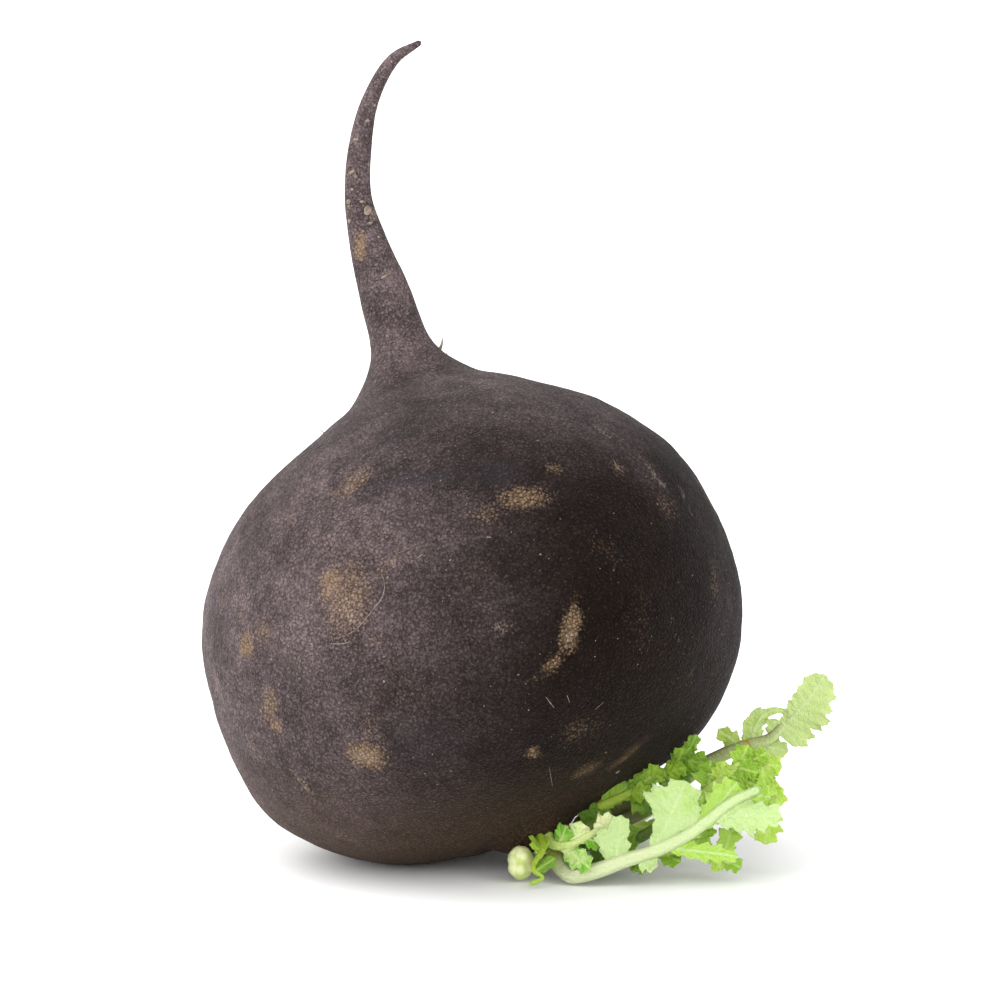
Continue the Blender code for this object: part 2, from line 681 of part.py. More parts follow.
def main():
    """Builds the radish in an empty scene."""
    for thing in list(bpy.data.objects):
        bpy.data.objects.remove(thing)
    make_root()
    cutter = make_clearance()
    for leaf in LEAVES:
        make_leaf(leaf, cutter)
    make_bud(cutter)


main()
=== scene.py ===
"""The look of a round black radish: dark wrinkled skin, pale scars, young toothed leaves and their bud.

Every length in the classes below is in millimetres, in the same frame as the solids: +Z up, +X towards
the leaves and -Y towards the viewer. Points become metres when a mesh is made.
"""

import logging
import math
import random
from dataclasses import dataclass, field
from enum import Enum

import bmesh
import bpy
import numpy as np
from mathutils import Matrix, Vector, noise
from mathutils.bvhtree import BVHTree
from mathutils.kdtree import KDTree


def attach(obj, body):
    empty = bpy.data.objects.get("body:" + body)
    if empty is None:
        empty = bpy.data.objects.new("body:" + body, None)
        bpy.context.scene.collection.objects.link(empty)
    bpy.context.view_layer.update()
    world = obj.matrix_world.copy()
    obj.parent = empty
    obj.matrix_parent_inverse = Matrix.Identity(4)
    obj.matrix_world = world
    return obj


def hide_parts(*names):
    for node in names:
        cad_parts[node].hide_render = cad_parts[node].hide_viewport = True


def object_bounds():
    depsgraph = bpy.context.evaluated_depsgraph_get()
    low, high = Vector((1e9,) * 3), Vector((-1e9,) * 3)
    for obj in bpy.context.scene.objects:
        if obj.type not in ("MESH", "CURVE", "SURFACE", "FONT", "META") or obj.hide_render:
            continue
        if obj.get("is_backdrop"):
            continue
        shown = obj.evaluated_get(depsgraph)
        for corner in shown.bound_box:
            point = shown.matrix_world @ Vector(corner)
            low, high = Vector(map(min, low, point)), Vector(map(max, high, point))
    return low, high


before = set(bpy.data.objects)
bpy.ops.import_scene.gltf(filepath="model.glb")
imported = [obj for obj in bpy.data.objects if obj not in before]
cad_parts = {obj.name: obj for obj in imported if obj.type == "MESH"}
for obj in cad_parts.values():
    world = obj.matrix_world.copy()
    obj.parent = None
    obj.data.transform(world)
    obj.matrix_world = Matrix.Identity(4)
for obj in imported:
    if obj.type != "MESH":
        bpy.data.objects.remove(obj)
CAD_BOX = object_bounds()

LOG = logging.getLogger("black_radish")
MM = 0.001
BODY = "root"


class Side(Enum):
    """Which side of a leaf's rib a lobe grows on."""

    LEFT = -1
    TIP = 0
    RIGHT = 1


class Mark(Enum):
    """The kinds of mark on the skin, each a layer of its own on the mesh."""

    OCHRE = "ochre"
    CREAM = "cream"
    DUSK = "dusk"
    EARTH = "earth"
    SCURF_AND_PAINTED_LIGHT = "scurf_and_painted_light"


@dataclass(frozen=True)
class Viewpoint:
    """Where the radish is looked at from, and how a place in that view turns into a point on it."""

    elevation: float = 10.0
    distance: float = 2000.0
    sensor: float = 36.0
    field_width: float = 185.0
    aim_across: float = 17.17
    aim_up: float = 65.45
    nearest: float = 50.0
    farthest: float = 50000.0

    def forward(self) -> Vector:
        """The direction that the viewer looks in."""
        angle = math.radians(self.elevation)
        return Vector((0.0, math.cos(angle), -math.sin(angle)))

    def upward(self) -> Vector:
        """The direction that is up in the view."""
        angle = math.radians(self.elevation)
        return Vector((0.0, math.sin(angle), math.cos(angle)))

    def place(self, across: float, up: float) -> Vector:
        """A point of the plane through the origin that faces the viewer.

        Args:
            across: Millimetres to the right of the origin.
            up: Millimetres above the origin in the view.

        Returns:
            The point in millimetres.
        """
        return Vector((across, 0.0, 0.0)) + self.upward() * up

    def add_camera(self) -> bpy.types.Object:
        """Adds the camera and makes it the scene's own.

        Returns:
            The camera object.
        """
        data = bpy.data.cameras.new("camera")
        data.sensor_width = self.sensor
        data.lens = self.sensor / self.field_width * self.distance
        data.clip_start = self.nearest * MM
        data.clip_end = self.farthest * MM
        camera = bpy.data.objects.new("camera", data)
        aim = self.place(self.aim_across, self.aim_up)
        camera.location = (aim - self.forward() * self.distance) * MM
        camera.rotation_euler = self.forward().to_track_quat("-Z", "Y").to_euler()
        bpy.context.scene.collection.objects.link(camera)
        bpy.context.scene.camera = camera
        return camera


class Shading:
    """Writes the node tree of one material, a node at a time."""

    def __init__(self, name: str) -> None:
        """Starts a material with a Principled shader.

        Args:
            name: The material's name.
        """
        self.material = bpy.data.materials.new(name)
        self.material.use_nodes = True
        self.tree = self.material.node_tree
        self.shader = self.tree.nodes["Principled BSDF"]
        self.place = self.node("ShaderNodeTexCoord").outputs["Object"]

    def node(self, kind: str, **settings: object) -> bpy.types.Node:
        """Adds a node.

        Args:
            kind: The node's type.
            **settings: Properties to set on it.

        Returns:
            The node.
        """
        made = self.tree.nodes.new(kind)
        for key, value in settings.items():
            setattr(made, key, value)
        return made

    def feed(self, socket: bpy.types.NodeSocket, value: object) -> None:
        """Links an output to a socket, or sets the socket to a number or colour.

        Args:
            socket: The input to set.
            value: An output socket, a number, or a colour of three parts.
        """
        if isinstance(value, bpy.types.NodeSocket):
            self.tree.links.new(value, socket)
        elif isinstance(value, tuple) and len(value) == 3 and socket.type == "RGBA":
            socket.default_value = (*value, 1.0)
        else:
            socket.default_value = value

    def grain(
        self, scale: float, detail: float = 2.0, roughness: float = 0.5, place: object = None
    ) -> object:
        """Smooth random noise.

        Args:
            scale: Features to the metre.
            detail: How many finer layers it has.
            roughness: How strong the finer layers are.
            place: Where to read it, if not the piece's own coordinates.

        Returns:
            The output with a number from 0 to 1.
        """
        made = self.node("ShaderNodeTexNoise")
        self.feed(made.inputs["Vector"], place or self.place)
        self.feed(made.inputs["Scale"], scale)
        self.feed(made.inputs["Detail"], detail)
        self.feed(made.inputs["Roughness"], roughness)
        return made.outputs[0]

    def cells(self, scale: float, edges: bool = False, place: object = None) -> object:
        """Distance inside a pattern of cells.

        Args:
            scale: Cells to the metre.
            edges: Whether the distance is to a cell's edge, not to its middle.
            place: Where to read it, if not the piece's own coordinates.

        Returns:
            The distance output.
        """
        made = self.node("ShaderNodeTexVoronoi", feature="DISTANCE_TO_EDGE" if edges else "F1")
        self.feed(made.inputs["Vector"], place or self.place)
        self.feed(made.inputs["Scale"], scale)
        return made.outputs["Distance"]

    def warped(self, scale: float, reach: float) -> object:
        """The piece's coordinates pushed about by noise.

        Args:
            scale: Features of the noise to the metre.
            reach: How far a point moves, in metres.

        Returns:
            The warped coordinates.
        """
        push = self.node("ShaderNodeTexNoise")
        self.feed(push.inputs["Vector"], self.place)
        self.feed(push.inputs["Scale"], scale)
        moved = self.node("ShaderNodeVectorMath", operation="MULTIPLY_ADD")
        self.feed(moved.inputs[0], push.outputs["Color"])
        moved.inputs[1].default_value = (reach, reach, reach)
        self.feed(moved.inputs[2], self.place)
        return moved.outputs[0]

    def layer(self, name: str) -> object:
        """A number kept on the mesh.

        Args:
            name: The layer's name.

        Returns:
            The output with its value.
        """
        made = self.node("ShaderNodeAttribute", attribute_name=name)
        return made.outputs["Fac"]

    def sums(self, operation: str, a: object, b: object) -> object:
        """Two numbers put together.

        Args:
            operation: ADD, SUBTRACT, MULTIPLY, MAXIMUM or another of the Math node's names.
            a: The first number or output.
            b: The second number or output.

        Returns:
            The result.
        """
        made = self.node("ShaderNodeMath", operation=operation)
        self.feed(made.inputs[0], a)
        self.feed(made.inputs[1], b)
        return made.outputs[0]

    def between(
        self, value: object, low: float, high: float, start: float = 0.0, end: float = 1.0
    ) -> object:
        """A number eased from start to end as the value goes from low to high.

        Args:
            value: The number or output to read.
            low: The value that gives start.
            high: The value that gives end.
            start: The result at low.
            end: The result at high.

        Returns:
            The result.
        """
        made = self.node("ShaderNodeMapRange", interpolation_type="SMOOTHSTEP")
        for socket, number in zip(made.inputs[:5], (value, low, high, start, end)):
            self.feed(socket, number)
        return made.outputs[0]

    def blend(self, share: object, a: object, b: object) -> object:
        """Two colours mixed.

        Args:
            share: How much of the second there is.
            a: The first colour.
            b: The second colour.

        Returns:
            The mixed colour.
        """
        made = self.node("ShaderNodeMix", data_type="RGBA")
        colour = [socket for socket in made.inputs if socket.type == "RGBA"]
        self.feed(made.inputs["Factor"], share)
        self.feed(colour[0], a)
        self.feed(colour[1], b)
        return next(socket for socket in made.outputs if socket.type == "RGBA")

    def product(self, first: object, *others: object) -> object:
        """Numbers multiplied.

        Args:
            first: The first number or output.
            *others: What it is multiplied by.

        Returns:
            The result.
        """
        for other in others:
            first = self.sums("MULTIPLY", first, other)
        return first

    def relief(self, *heights: tuple[object, float]) -> None:
        """Adds relief to the shader's normal.

        Args:
            *heights: Pairs of a height from 0 to 1 and its depth in metres.
        """
        below = None
        for height, depth in heights:
            made = self.node("ShaderNodeBump")
            made.inputs["Strength"].default_value = 1.0
            made.inputs["Distance"].default_value = depth
            self.feed(made.inputs["Height"], height)
            if below is not None:
                self.feed(made.inputs["Normal"], below)
            below = made.outputs[0]
        self.feed(self.shader.inputs["Normal"], below)


@dataclass(frozen=True)
class SkinFinish:
    """The skin: near-black brown, purple-grey on one side from scurf and painted light, pebbled, with
    pale patches.

    Scales are features to the metre.
    """

    purple: tuple = (0.0110, 0.0062, 0.0054)
    brown: tuple = (0.0092, 0.0046, 0.0024)
    dark: tuple = (0.0022, 0.0013, 0.0010)
    fleck: tuple = (0.046, 0.029, 0.020)
    scurf_and_painted_light: tuple = (0.168, 0.125, 0.129)
    bloom: tuple = (0.30, 0.24, 0.24)
    ochre: tuple = (0.262, 0.172, 0.098)
    cream: tuple = (0.340, 0.260, 0.205)
    dusk: tuple = (0.018, 0.018, 0.023)
    earth: tuple = (0.105, 0.064, 0.034)
    crumb: tuple = (0.42, 0.36, 0.32)
    sheen_tint: tuple = (0.90, 0.80, 0.84, 1.0)
    fine_scale: float = 2800.0
    coarse_scale: float = 900.0
    cell_scale: float = 1350.0
    mottle_scale: float = 400.0
    wrinkle_scale: float = 230.0
    blotch_scale: float = 110.0
    cloud_scale: float = 38.0
    crumb_scale: float = 1500.0
    roughness: float = 0.55
    specular: float = 0.04

    def make(self) -> bpy.types.Material:
        """Makes the material.

        Returns:
            The skin material.
        """
        s = Shading("radish_skin")
        drift = s.warped(90.0, 0.006)
        jitter = s.warped(900.0, 0.0007)
        net = s.cells(self.cell_scale, True, jitter)
        speckle = self.speckle(s, jitter)
        mottle = s.grain(self.mottle_scale, 4.0, 0.68, drift)
        blotch = s.grain(self.blotch_scale, 4.0, 0.6, drift)
        cloud = s.grain(self.cloud_scale, 4.0, 0.62, drift)
        scurf_and_light_layer = s.layer(Mark.SCURF_AND_PAINTED_LIGHT.value)
        tone = s.blend(s.between(cloud, 0.42, 0.60), self.purple, self.brown)
        tone = s.blend(s.between(blotch, 0.50, 0.70, 0.0, 0.6), tone, self.dark)
        tone = s.blend(s.between(mottle, 0.50, 0.64, 0.0, 0.4), tone, self.dark)
        tone = s.blend(s.between(speckle, 0.34, 0.50, 0.70, 0.0), tone, self.dark)
        tone = s.blend(s.between(speckle, 0.53, 0.68, 0.0, 0.52), tone, self.fleck)
        # Scurf and painted light: purple-grey on the left side, the upper shoulder and the tail top,
        # partly the skin's own scurf and partly painted light where the left lamp falls and grazes.
        scurf_and_light_share = s.product(
            scurf_and_light_layer,
            s.between(blotch, 0.36, 0.64, 1.0, 0.62),
            s.between(cloud, 0.36, 0.62, 1.0, 0.66),
            s.between(mottle, 0.38, 0.62, 1.16, 0.82),
            s.between(speckle, 0.36, 0.58, 0.38, 1.06),
        )
        tone = s.blend(scurf_and_light_share, tone, self.scurf_and_painted_light)
        bloomed = s.product(scurf_and_light_layer, s.between(speckle, 0.55, 0.70, 0.0, 0.26))
        tone = s.blend(bloomed, tone, self.bloom)
        earthy = s.product(s.layer(Mark.EARTH.value), s.between(speckle, 0.36, 0.62, 0.35, 1.0), 0.85)
        tone = s.blend(earthy, tone, self.earth)
        tone = s.blend(s.product(s.layer(Mark.DUSK.value), 0.50), tone, self.dusk)
        scatter = s.product(s.sums("SUBTRACT", speckle, 0.49), 2.8)
        veil = s.between(net, 0.0, 0.20, 0.35, 1.0)
        for mark, colour, most in ((Mark.OCHRE, self.ochre, 0.80), (Mark.CREAM, self.cream, 0.62)):
            painted = s.layer(mark.value)
            shown = s.between(s.sums("ADD", painted, scatter), 0.0, 1.05, 0.0, most)
            tone = s.blend(s.product(shown, s.between(painted, 0.0, 0.6), veil), tone, colour)
        crumbs = s.between(s.grain(self.crumb_scale, 1.0, 0.4), 0.765, 0.800, 0.0, 0.5)
        tone = s.blend(crumbs, tone, self.crumb)
        rough = s.between(speckle, 0.3, 0.7, self.roughness + 0.1, self.roughness - 0.06)
        s.feed(s.shader.inputs["Base Color"], tone)
        s.feed(s.shader.inputs["Roughness"], rough)
        s.shader.inputs["Specular IOR Level"].default_value = self.specular
        s.shader.inputs["Sheen Weight"].default_value = 0.03
        s.shader.inputs["Sheen Roughness"].default_value = 0.45
        s.shader.inputs["Sheen Tint"].default_value = self.sheen_tint
        s.relief(
            (s.between(net, 0.0, 0.30), 0.00012),
            (speckle, 0.00050),
            (s.grain(self.wrinkle_scale, 3.0, 0.55, drift), 0.00045),
        )
        return s.material

    def speckle(self, s: Shading, jitter: object) -> object:
        """The grain of the skin: two sizes of speck and rounded pebbles.

        Args:
            s: The material under way.
            jitter: The coordinates that the pebbles are read at.

        Returns:
            The output, about 0.48 on average.
        """
        fine = s.grain(self.fine_scale, 3.0, 0.66)
        coarse = s.grain(self.coarse_scale, 3.0, 0.6)
        pebble = s.between(s.cells(self.cell_scale, False, jitter), 0.10, 0.62, 1.0, 0.0)
        mixed = s.sums("ADD", s.product(fine, 0.72), s.product(coarse, 0.13))
        return s.sums("ADD", mixed, s.product(pebble, 0.15))


@dataclass(frozen=True)
class ScarFinish:
    """Pale corky scars and dry rootlets."""

    name: str = "scar_cork"
    pale: tuple = (0.24, 0.185, 0.145)
    deep: tuple = (0.11, 0.075, 0.055)
    roughness: float = 0.75

    def make(self) -> bpy.types.Material:
        """Makes the material.

        Returns:
            The cork material.
        """
        s = Shading(self.name)
        mixed = s.blend(s.between(s.grain(1700.0, 3.0, 0.6), 0.36, 0.62), self.deep, self.pale)
        s.feed(s.shader.inputs["Base Color"], mixed)
        s.shader.inputs["Roughness"].default_value = self.roughness
        s.relief((s.grain(2600.0, 2.0), 0.00012))
        return s.material


@dataclass(frozen=True)
class LeafFinish:
    """A young leaf: green between the veins, paler along them, whitish on the stalk."""

    blade: tuple
    deep: tuple
    vein: tuple
    stalk: tuple
    shade_olive: tuple = (0.080, 0.150, 0.010)
    brown: tuple = (0.36, 0.24, 0.02)
    roughness: float = 0.42
    glow: float = 0.20

    def make(self, name: str) -> bpy.types.Material:
        """Makes the material.

        Args:
            name: The material's name.

        Returns:
            The leaf material.
        """
        s = Shading(name)
        patch = s.grain(300.0, 3.0, 0.6)
        mixed = s.sums("ADD", s.layer("tone"), s.product(s.sums("SUBTRACT", patch, 0.5), 1.6))
        tone = s.blend(s.between(mixed, 0.05, 0.95), self.blade, self.deep)
        mesh_veins = s.cells(1150.0, True, s.warped(500.0, 0.0008))
        tone = s.blend(s.between(mesh_veins, 0.0, 0.12, 0.20, 0.0), tone, self.vein)
        tone = s.blend(s.between(s.layer("vein"), 0.12, 0.85, 0.0, 0.62), tone, self.vein)
        tone = s.blend(s.between(s.layer("margin"), 0.55, 1.0, 0.0, 0.25), tone, self.vein)
        tone = s.blend(s.between(s.layer("stalk"), 0.05, 0.9), tone, self.stalk)
        # Painted shade: olive blended in towards the crown, where the root shades the leaves.
        tone = s.blend(s.product(s.layer("shade"), 0.92), tone, self.shade_olive)
        tone = s.blend(s.layer("nick"), tone, self.brown)
        s.feed(s.shader.inputs["Base Color"], tone)
        rough = s.between(patch, 0.3, 0.7, self.roughness - 0.06, self.roughness + 0.1)
        s.feed(s.shader.inputs["Roughness"], rough)
        s.shader.inputs["Subsurface Weight"].default_value = self.glow
        s.shader.inputs["Subsurface Radius"].default_value = (0.8, 1.0, 0.3)
        s.shader.inputs["Subsurface Scale"].default_value = 0.0012
        s.shader.inputs["Specular IOR Level"].default_value = 0.40
        s.relief((s.between(mesh_veins, 0.0, 0.2), 0.00007), (s.grain(900.0, 2.0), 0.0001))
        return s.material


@dataclass(frozen=True)
class BudFinish:
    """The unopened bud: cream with green in its folds."""

    cream: tuple = (0.70, 0.74, 0.40)
    green: tuple = (0.52, 0.62, 0.20)
    tan: tuple = (0.58, 0.48, 0.24)

    def make(self) -> bpy.types.Material:
        """Makes the material.

        Returns:
            The bud material.
        """
        s = Shading("bud_cream")
        folds = s.sums("ADD", s.layer("fold"), s.product(s.grain(420.0, 3.0), 0.35))
        tone = s.blend(s.between(folds, 0.25, 1.0), self.cream, self.green)
        tone = s.blend(s.between(s.grain(300.0, 2.0), 0.56, 0.70, 0.0, 0.7), tone, self.tan)
        s.feed(s.shader.inputs["Base Color"], tone)
        s.shader.inputs["Roughness"].default_value = 0.5
        s.shader.inputs["Subsurface Weight"].default_value = 0.35
        s.shader.inputs["Subsurface Radius"].default_value = (1.0, 1.0, 0.4)
        s.shader.inputs["Subsurface Scale"].default_value = 0.0015
        s.relief((s.grain(1300.0, 3.0), 0.00012))
        return s.material


@dataclass(frozen=True)
class FloorFinish:
    """The plain pale floor."""

    white: tuple = (0.98, 0.98, 0.98)

    def make(self) -> bpy.types.Material:
        """Makes the material.

        Returns:
            The floor material.
        """
        s = Shading("studio_white")
        s.feed(s.shader.inputs["Base Color"], self.white)
        s.shader.inputs["Roughness"].default_value = 0.8
        s.shader.inputs["Specular IOR Level"].default_value = 0.2
        return s.material


class Draft:
    """A mesh while it is put together: points in millimetres, faces, and numbers kept on the points."""

    def __init__(self, *layers: str) -> None:
        """Starts an empty mesh.

        Args:
            *layers: Names of the numbers that each point keeps.
        """
        self.points: list[Vector] = []
        self.faces: list[tuple] = []
        self.layers: dict[str, list[float]] = {name: [] for name in layers}

    def add(self, point: Vector, **values: float) -> int:
        """Adds a point.

        Args:
            point: Its place in millimetres.
            **values: Its numbers; one that isn't given is 0.

        Returns:
            The point's index.
        """
        self.points.append(Vector(point))
        for name, kept in self.layers.items():
            kept.append(values.get(name, 0.0))
        return len(self.points) - 1

    def tube(self, rings: list[list[int]], first: Vector, last: Vector, **values: float) -> None:
        """Joins rings of points into a closed tube with a point at each end.

        Args:
            rings: Indices of each ring's points.
            first: Where the first end closes.
            last: Where the last end closes.
            **values: Numbers for the two end points.
        """
        for lower, upper in zip(rings, rings[1:]):
            count = len(lower)
            for i in range(count):
                j = (i + 1) % count
                self.faces.append((lower[i], lower[j], upper[j], upper[i]))
        for ring, point in ((rings[0], first), (rings[-1], last)):
            pole = self.add(point, **values)
            for i in range(len(ring)):
                self.faces.append((pole, ring[i], ring[(i + 1) % len(ring)]))

    def sheet(self, front: list[list[int]], back: list[list[int]]) -> None:
        """Joins two grids of points into a thin closed sheet.

        Args:
            front: Indices of the front's points, row by row.
            back: Indices of the back's points, row by row.
        """
        rows = len(front)
        columns = len(front[0])
        for i in range(rows - 1):
            for k in range(columns - 1):
                for grid in (front, back):
                    self.faces.append((grid[i][k], grid[i][k + 1], grid[i + 1][k + 1], grid[i + 1][k]))
            for k in (0, columns - 1):
                self.faces.append((front[i][k], front[i + 1][k], back[i + 1][k], back[i][k]))
        for i in (0, rows - 1):
            for k in range(columns - 1):
                self.faces.append((front[i][k], front[i][k + 1], back[i][k + 1], back[i][k]))

    def finish(self, name: str, material: bpy.types.Material) -> bpy.types.Object:
        """Makes the object, smooth shaded, with its faces outward.

        Args:
            name: The piece's name.
            material: What it is made of.

        Returns:
            The object.
        """
        mesh = bpy.data.meshes.new(name)
        mesh.from_pydata([point * MM for point in self.points], [], self.faces)
        for layer, kept in self.layers.items():
            mesh.attributes.new(layer, "FLOAT", "POINT").data.foreach_set("value", kept)
        bm = bmesh.new()
        bm.from_mesh(mesh)
        bmesh.ops.recalc_face_normals(bm, faces=bm.faces)
        bm.to_mesh(mesh)
        bm.free()
        mesh.shade_smooth()
        mesh.materials.append(material)
        made = bpy.data.objects.new(name, mesh)
        bpy.context.scene.collection.objects.link(made)
        return made


def eased(share: float | np.ndarray) -> float | np.ndarray:
    """A share from 0 to 1 with a soft start and end."""
    return share * share * (3 - 2 * share)


def turned_pair(wide: Vector, high: Vector, angle: float) -> tuple[Vector, Vector]:
    """Two directions turned together.

    Args:
        wide: The first direction.
        high: The second one, square to it.
        angle: The turn, in radians.

    Returns:
        Both directions after the turn.
    """
    cos, sin = math.cos(angle), math.sin(angle)
    return wide * cos + high * sin, high * cos - wide * sin


def smooth_through(rows: list, steps: list[int]) -> list[Vector]:
    """Points on a centripetal Catmull-Rom curve.

    Args:
        rows: The points that it goes through, of any size.
        steps: How many points each span gives.

    Returns:
        The points, the last row's among them.
    """
    rows = [Vector(row) for row in rows]
    ends = [2 * rows[0] - rows[1], *rows, 2 * rows[-1] - rows[-2]]
    made = []
    for i, count in enumerate(steps):
        p0, p1, p2, p3 = ends[i : i + 4]
        t1 = (p1 - p0).length ** 0.5
        t2 = t1 + (p2 - p1).length ** 0.5
        t3 = t2 + (p3 - p2).length ** 0.5
        for k in range(count):
            t = t1 + (t2 - t1) * k / count
            a1 = p0 * ((t1 - t) / t1) + p1 * (t / t1)
            a2 = p1 * ((t2 - t) / (t2 - t1)) + p2 * ((t - t1) / (t2 - t1))
            a3 = p2 * ((t3 - t) / (t3 - t2)) + p3 * ((t - t2) / (t3 - t2))
            b1 = a1 * ((t2 - t) / t2) + a2 * (t / t2)
            b2 = a2 * ((t3 - t) / (t3 - t1)) + a3 * ((t - t1) / (t3 - t1))
            made.append(b1 * ((t2 - t) / (t2 - t1)) + b2 * ((t - t1) / (t2 - t1)))
    made.append(rows[-1])
    return made


@dataclass(frozen=True)
class Spot:
    """A patch on the skin: its half width and half height, its turn and its strength."""

    wide: float
    high: float
    turn: float = 0.0
    strength: float = 1.0


@dataclass(frozen=True)
class Scratch:
    """A thin raised scar: the places that it passes in the view, and its half width."""

    places: tuple
    width: float = 0.14


@dataclass
class Root:
    """The round root, its neck and its long tail."""

    girth_radius: float = 49.8
    shoulder_rise: float = 44.2
    base_depth: float = 40.0
    base_fullness: float = 2.75
    girth_drop: float = 1.0
    base_slant: float = 0.07
    slant_depth: float = 24.0
    axis_lean: float = math.radians(17.0)
    plane_lean: float = math.radians(20.0)
    middle: Vector = field(default_factory=lambda: Vector((11.3, -5.1, 45.57)))
    crown: tuple = (
        (45.0, 0.0), (44.8, 2.4), (44.0, 4.8), (42.7, 6.8), (41.5, 8.4), (40.8, 10.4), (40.5, 13.0),
    )
    base_start_radius: float = 16.0
    shoulder_end_radius: float = 35.0
    shoulder_shift: float = 0.85
    tail: tuple = (
        (-9.3, 0.0, 32.5, 30.2), (-9.9, 0.0, 38.6, 19.6), (-10.1, 0.0, 41.8, 13.3),
        (-10.9, 0.0, 44.8, 9.6), (-11.7, 0.0, 47.8, 7.1), (-12.6, 0.1, 51.0, 5.6),
        (-15.5, 0.6, 60.9, 4.7), (-18.4, 1.2, 70.0, 3.6), (-20.4, 1.4, 79.1, 2.55),
        (-20.1, 1.0, 88.2, 2.2), (-18.1, 0.2, 97.2, 1.6), (-13.9, -0.6, 104.6, 1.15),
        (-9.1, -1.0, 107.7, 0.55),
    )
    swellings: tuple = (
        ((-0.22, 0.08, -0.97), 1.4, math.radians(18)),
        ((-0.62, 0.0, -0.78), -0.5, math.radians(18)),
        ((-0.75, 0.0, 0.66), -1.35, math.radians(17)),
        ((0.95, 0.0, -0.32), 1.3, math.radians(17)),
        ((0.84, 0.0, -0.55), 1.9, math.radians(12)),
        ((-0.20, -0.90, 0.35), -0.9, math.radians(28)),
        ((0.45, -0.85, -0.20), 0.8, math.radians(24)),
        ((0.35, 0.90, 0.30), 1.2, math.radians(32)),
        ((-0.70, 0.70, 0.10), -1.0, math.radians(24)),
    )
    neck_spans: int = 6
    tip: float = 0.5
    thick_ring: float = 9.0
    slim_ring: float = 5.0
    sides: int = 272
    crown_steps: int = 4
    base_rings: int = 76
    shoulder_rings: int = 62
    neck_steps: int = 9
    tail_steps: int = 14

    def on_axis(self, height: float) -> Vector:
        """A point on the root's axis, in its own plane."""
        return Vector((-math.sin(self.axis_lean) * height, 0.0, math.cos(self.axis_lean) * height))

    def stations(self) -> list[Vector]:
        """Centre and radius of each ring, from the crown's pole to the tip of the tail.

        Returns:
            Rows of across, back, up and radius.
        """
        across = Vector((math.cos(self.axis_lean), 0.0, math.sin(self.axis_lean)))
        crown = [(*self.on_axis(-depth), radius) for depth, radius in self.crown]
        rows = smooth_through(crown, [self.crown_steps] * (len(crown) - 1))
        start = math.acos(self.base_start_radius / self.girth_radius)
        for k in range(self.base_rings):
            angle = start * (1 - k / self.base_rings)
            depth = self.base_depth * math.sin(angle) ** (2 / self.base_fullness)
            centre = self.on_axis(-self.girth_drop - depth)
            rows.append(Vector((*centre, self.girth_radius * math.cos(angle))))
        end = math.acos(self.shoulder_end_radius / self.girth_radius)
        for k in range(self.shoulder_rings):
            angle = end * k / (self.shoulder_rings - 1)
            height = self.shoulder_rise * math.sin(angle) - self.girth_drop
            centre = self.on_axis(height) + across * (self.shoulder_shift * math.sin(angle))
            rows.append(Vector((*centre, self.girth_radius * math.cos(angle))))
        steps = [self.neck_steps] * self.neck_spans
        steps += [self.tail_steps] * (len(self.tail) - self.neck_spans)
        return rows[:-1] + smooth_through([rows[-1], *self.tail], steps)

    def swollen(self, point: Vector) -> Vector:
        """Moves a point by the swellings, the dents and the slant of the base.

        Args:
            point: A point in the root's own plane.

        Returns:
            The moved point.
        """
        reach = min(1.0, point.length / self.girth_radius)
        outward = point.normalized()
        rise = 0.0
        for direction, height, spread in self.swellings:
            rise += height * math.exp(-((outward.angle(Vector(direction)) / spread) ** 2))
        up = self.on_axis(1.0)
        across = Vector((up.z, 0.0, -up.x))
        share = min(1.0, max(0.0, -point.dot(up) / self.slant_depth))
        slant = self.base_slant * point.dot(across) * eased(share)
        return point + outward * rise * reach + up * slant

    def placed(self, point: Vector) -> Vector:
        """A point of the root's own plane, leant back and lifted to where the root stands."""
        return Matrix.Rotation(-self.plane_lean, 3, "X") @ point + self.middle

    def uneven(self, point: Vector, girth: float) -> float:
        """How far the skin stands out at a point, in slow lumps and short wrinkles.

        Args:
            point: The point, placed.
            girth: The ring's radius there.

        Returns:
            The height in millimetres.
        """
        share = min(1.0, girth / 20.0)
        lumps = noise.fractal(point * 0.055, 0.9, 2.0, 3) * 0.42
        pebbles = noise.fractal(point * 0.36, 0.8, 2.1, 3) * 0.075
        return lumps * share + pebbles * (0.35 + 0.65 * share)

    def build(self, material: bpy.types.Material) -> bpy.types.Object:
        """Makes the root as one closed mesh with the small flat spot that it rests on.

        Args:
            material: The skin.

        Returns:
            The object.
        """
        draft = Draft(*(mark.value for mark in Mark))
        stations = self.stations()
        rings = []
        for i in range(1, len(stations)):
            before = stations[i - 1].to_3d()
            after = stations[min(i + 1, len(stations) - 1)].to_3d()
            radius = stations[i][3]
            slim = min(1.0, max(0.0, (self.thick_ring - radius) / (self.thick_ring - self.slim_ring)))
            tangent = self.on_axis(1.0).lerp((after - before).normalized(), slim).normalized()
            side = Vector((0.0, 1.0, 0.0)).cross(tangent).normalized()
            depth = tangent.cross(side)
            ring = []
            for k in range(self.sides):
                turn = 2 * math.pi * k / self.sides
                spoke = side * math.cos(turn) + depth * math.sin(turn)
                point = self.placed(self.swollen(stations[i].to_3d() + spoke * radius))
                out = Matrix.Rotation(-self.plane_lean, 3, "X") @ spoke
                point += out * self.uneven(point, radius)
                point.z = max(point.z, 0.0)
                ring.append(draft.add(point))
            rings.append(ring)
        last = stations[-1].to_3d() + (stations[-1] - stations[-2]).to_3d().normalized() * self.tip
        draft.tube(rings, self.placed(self.swollen(stations[0].to_3d())), self.placed(last))
        return draft.finish("root_skin", material)


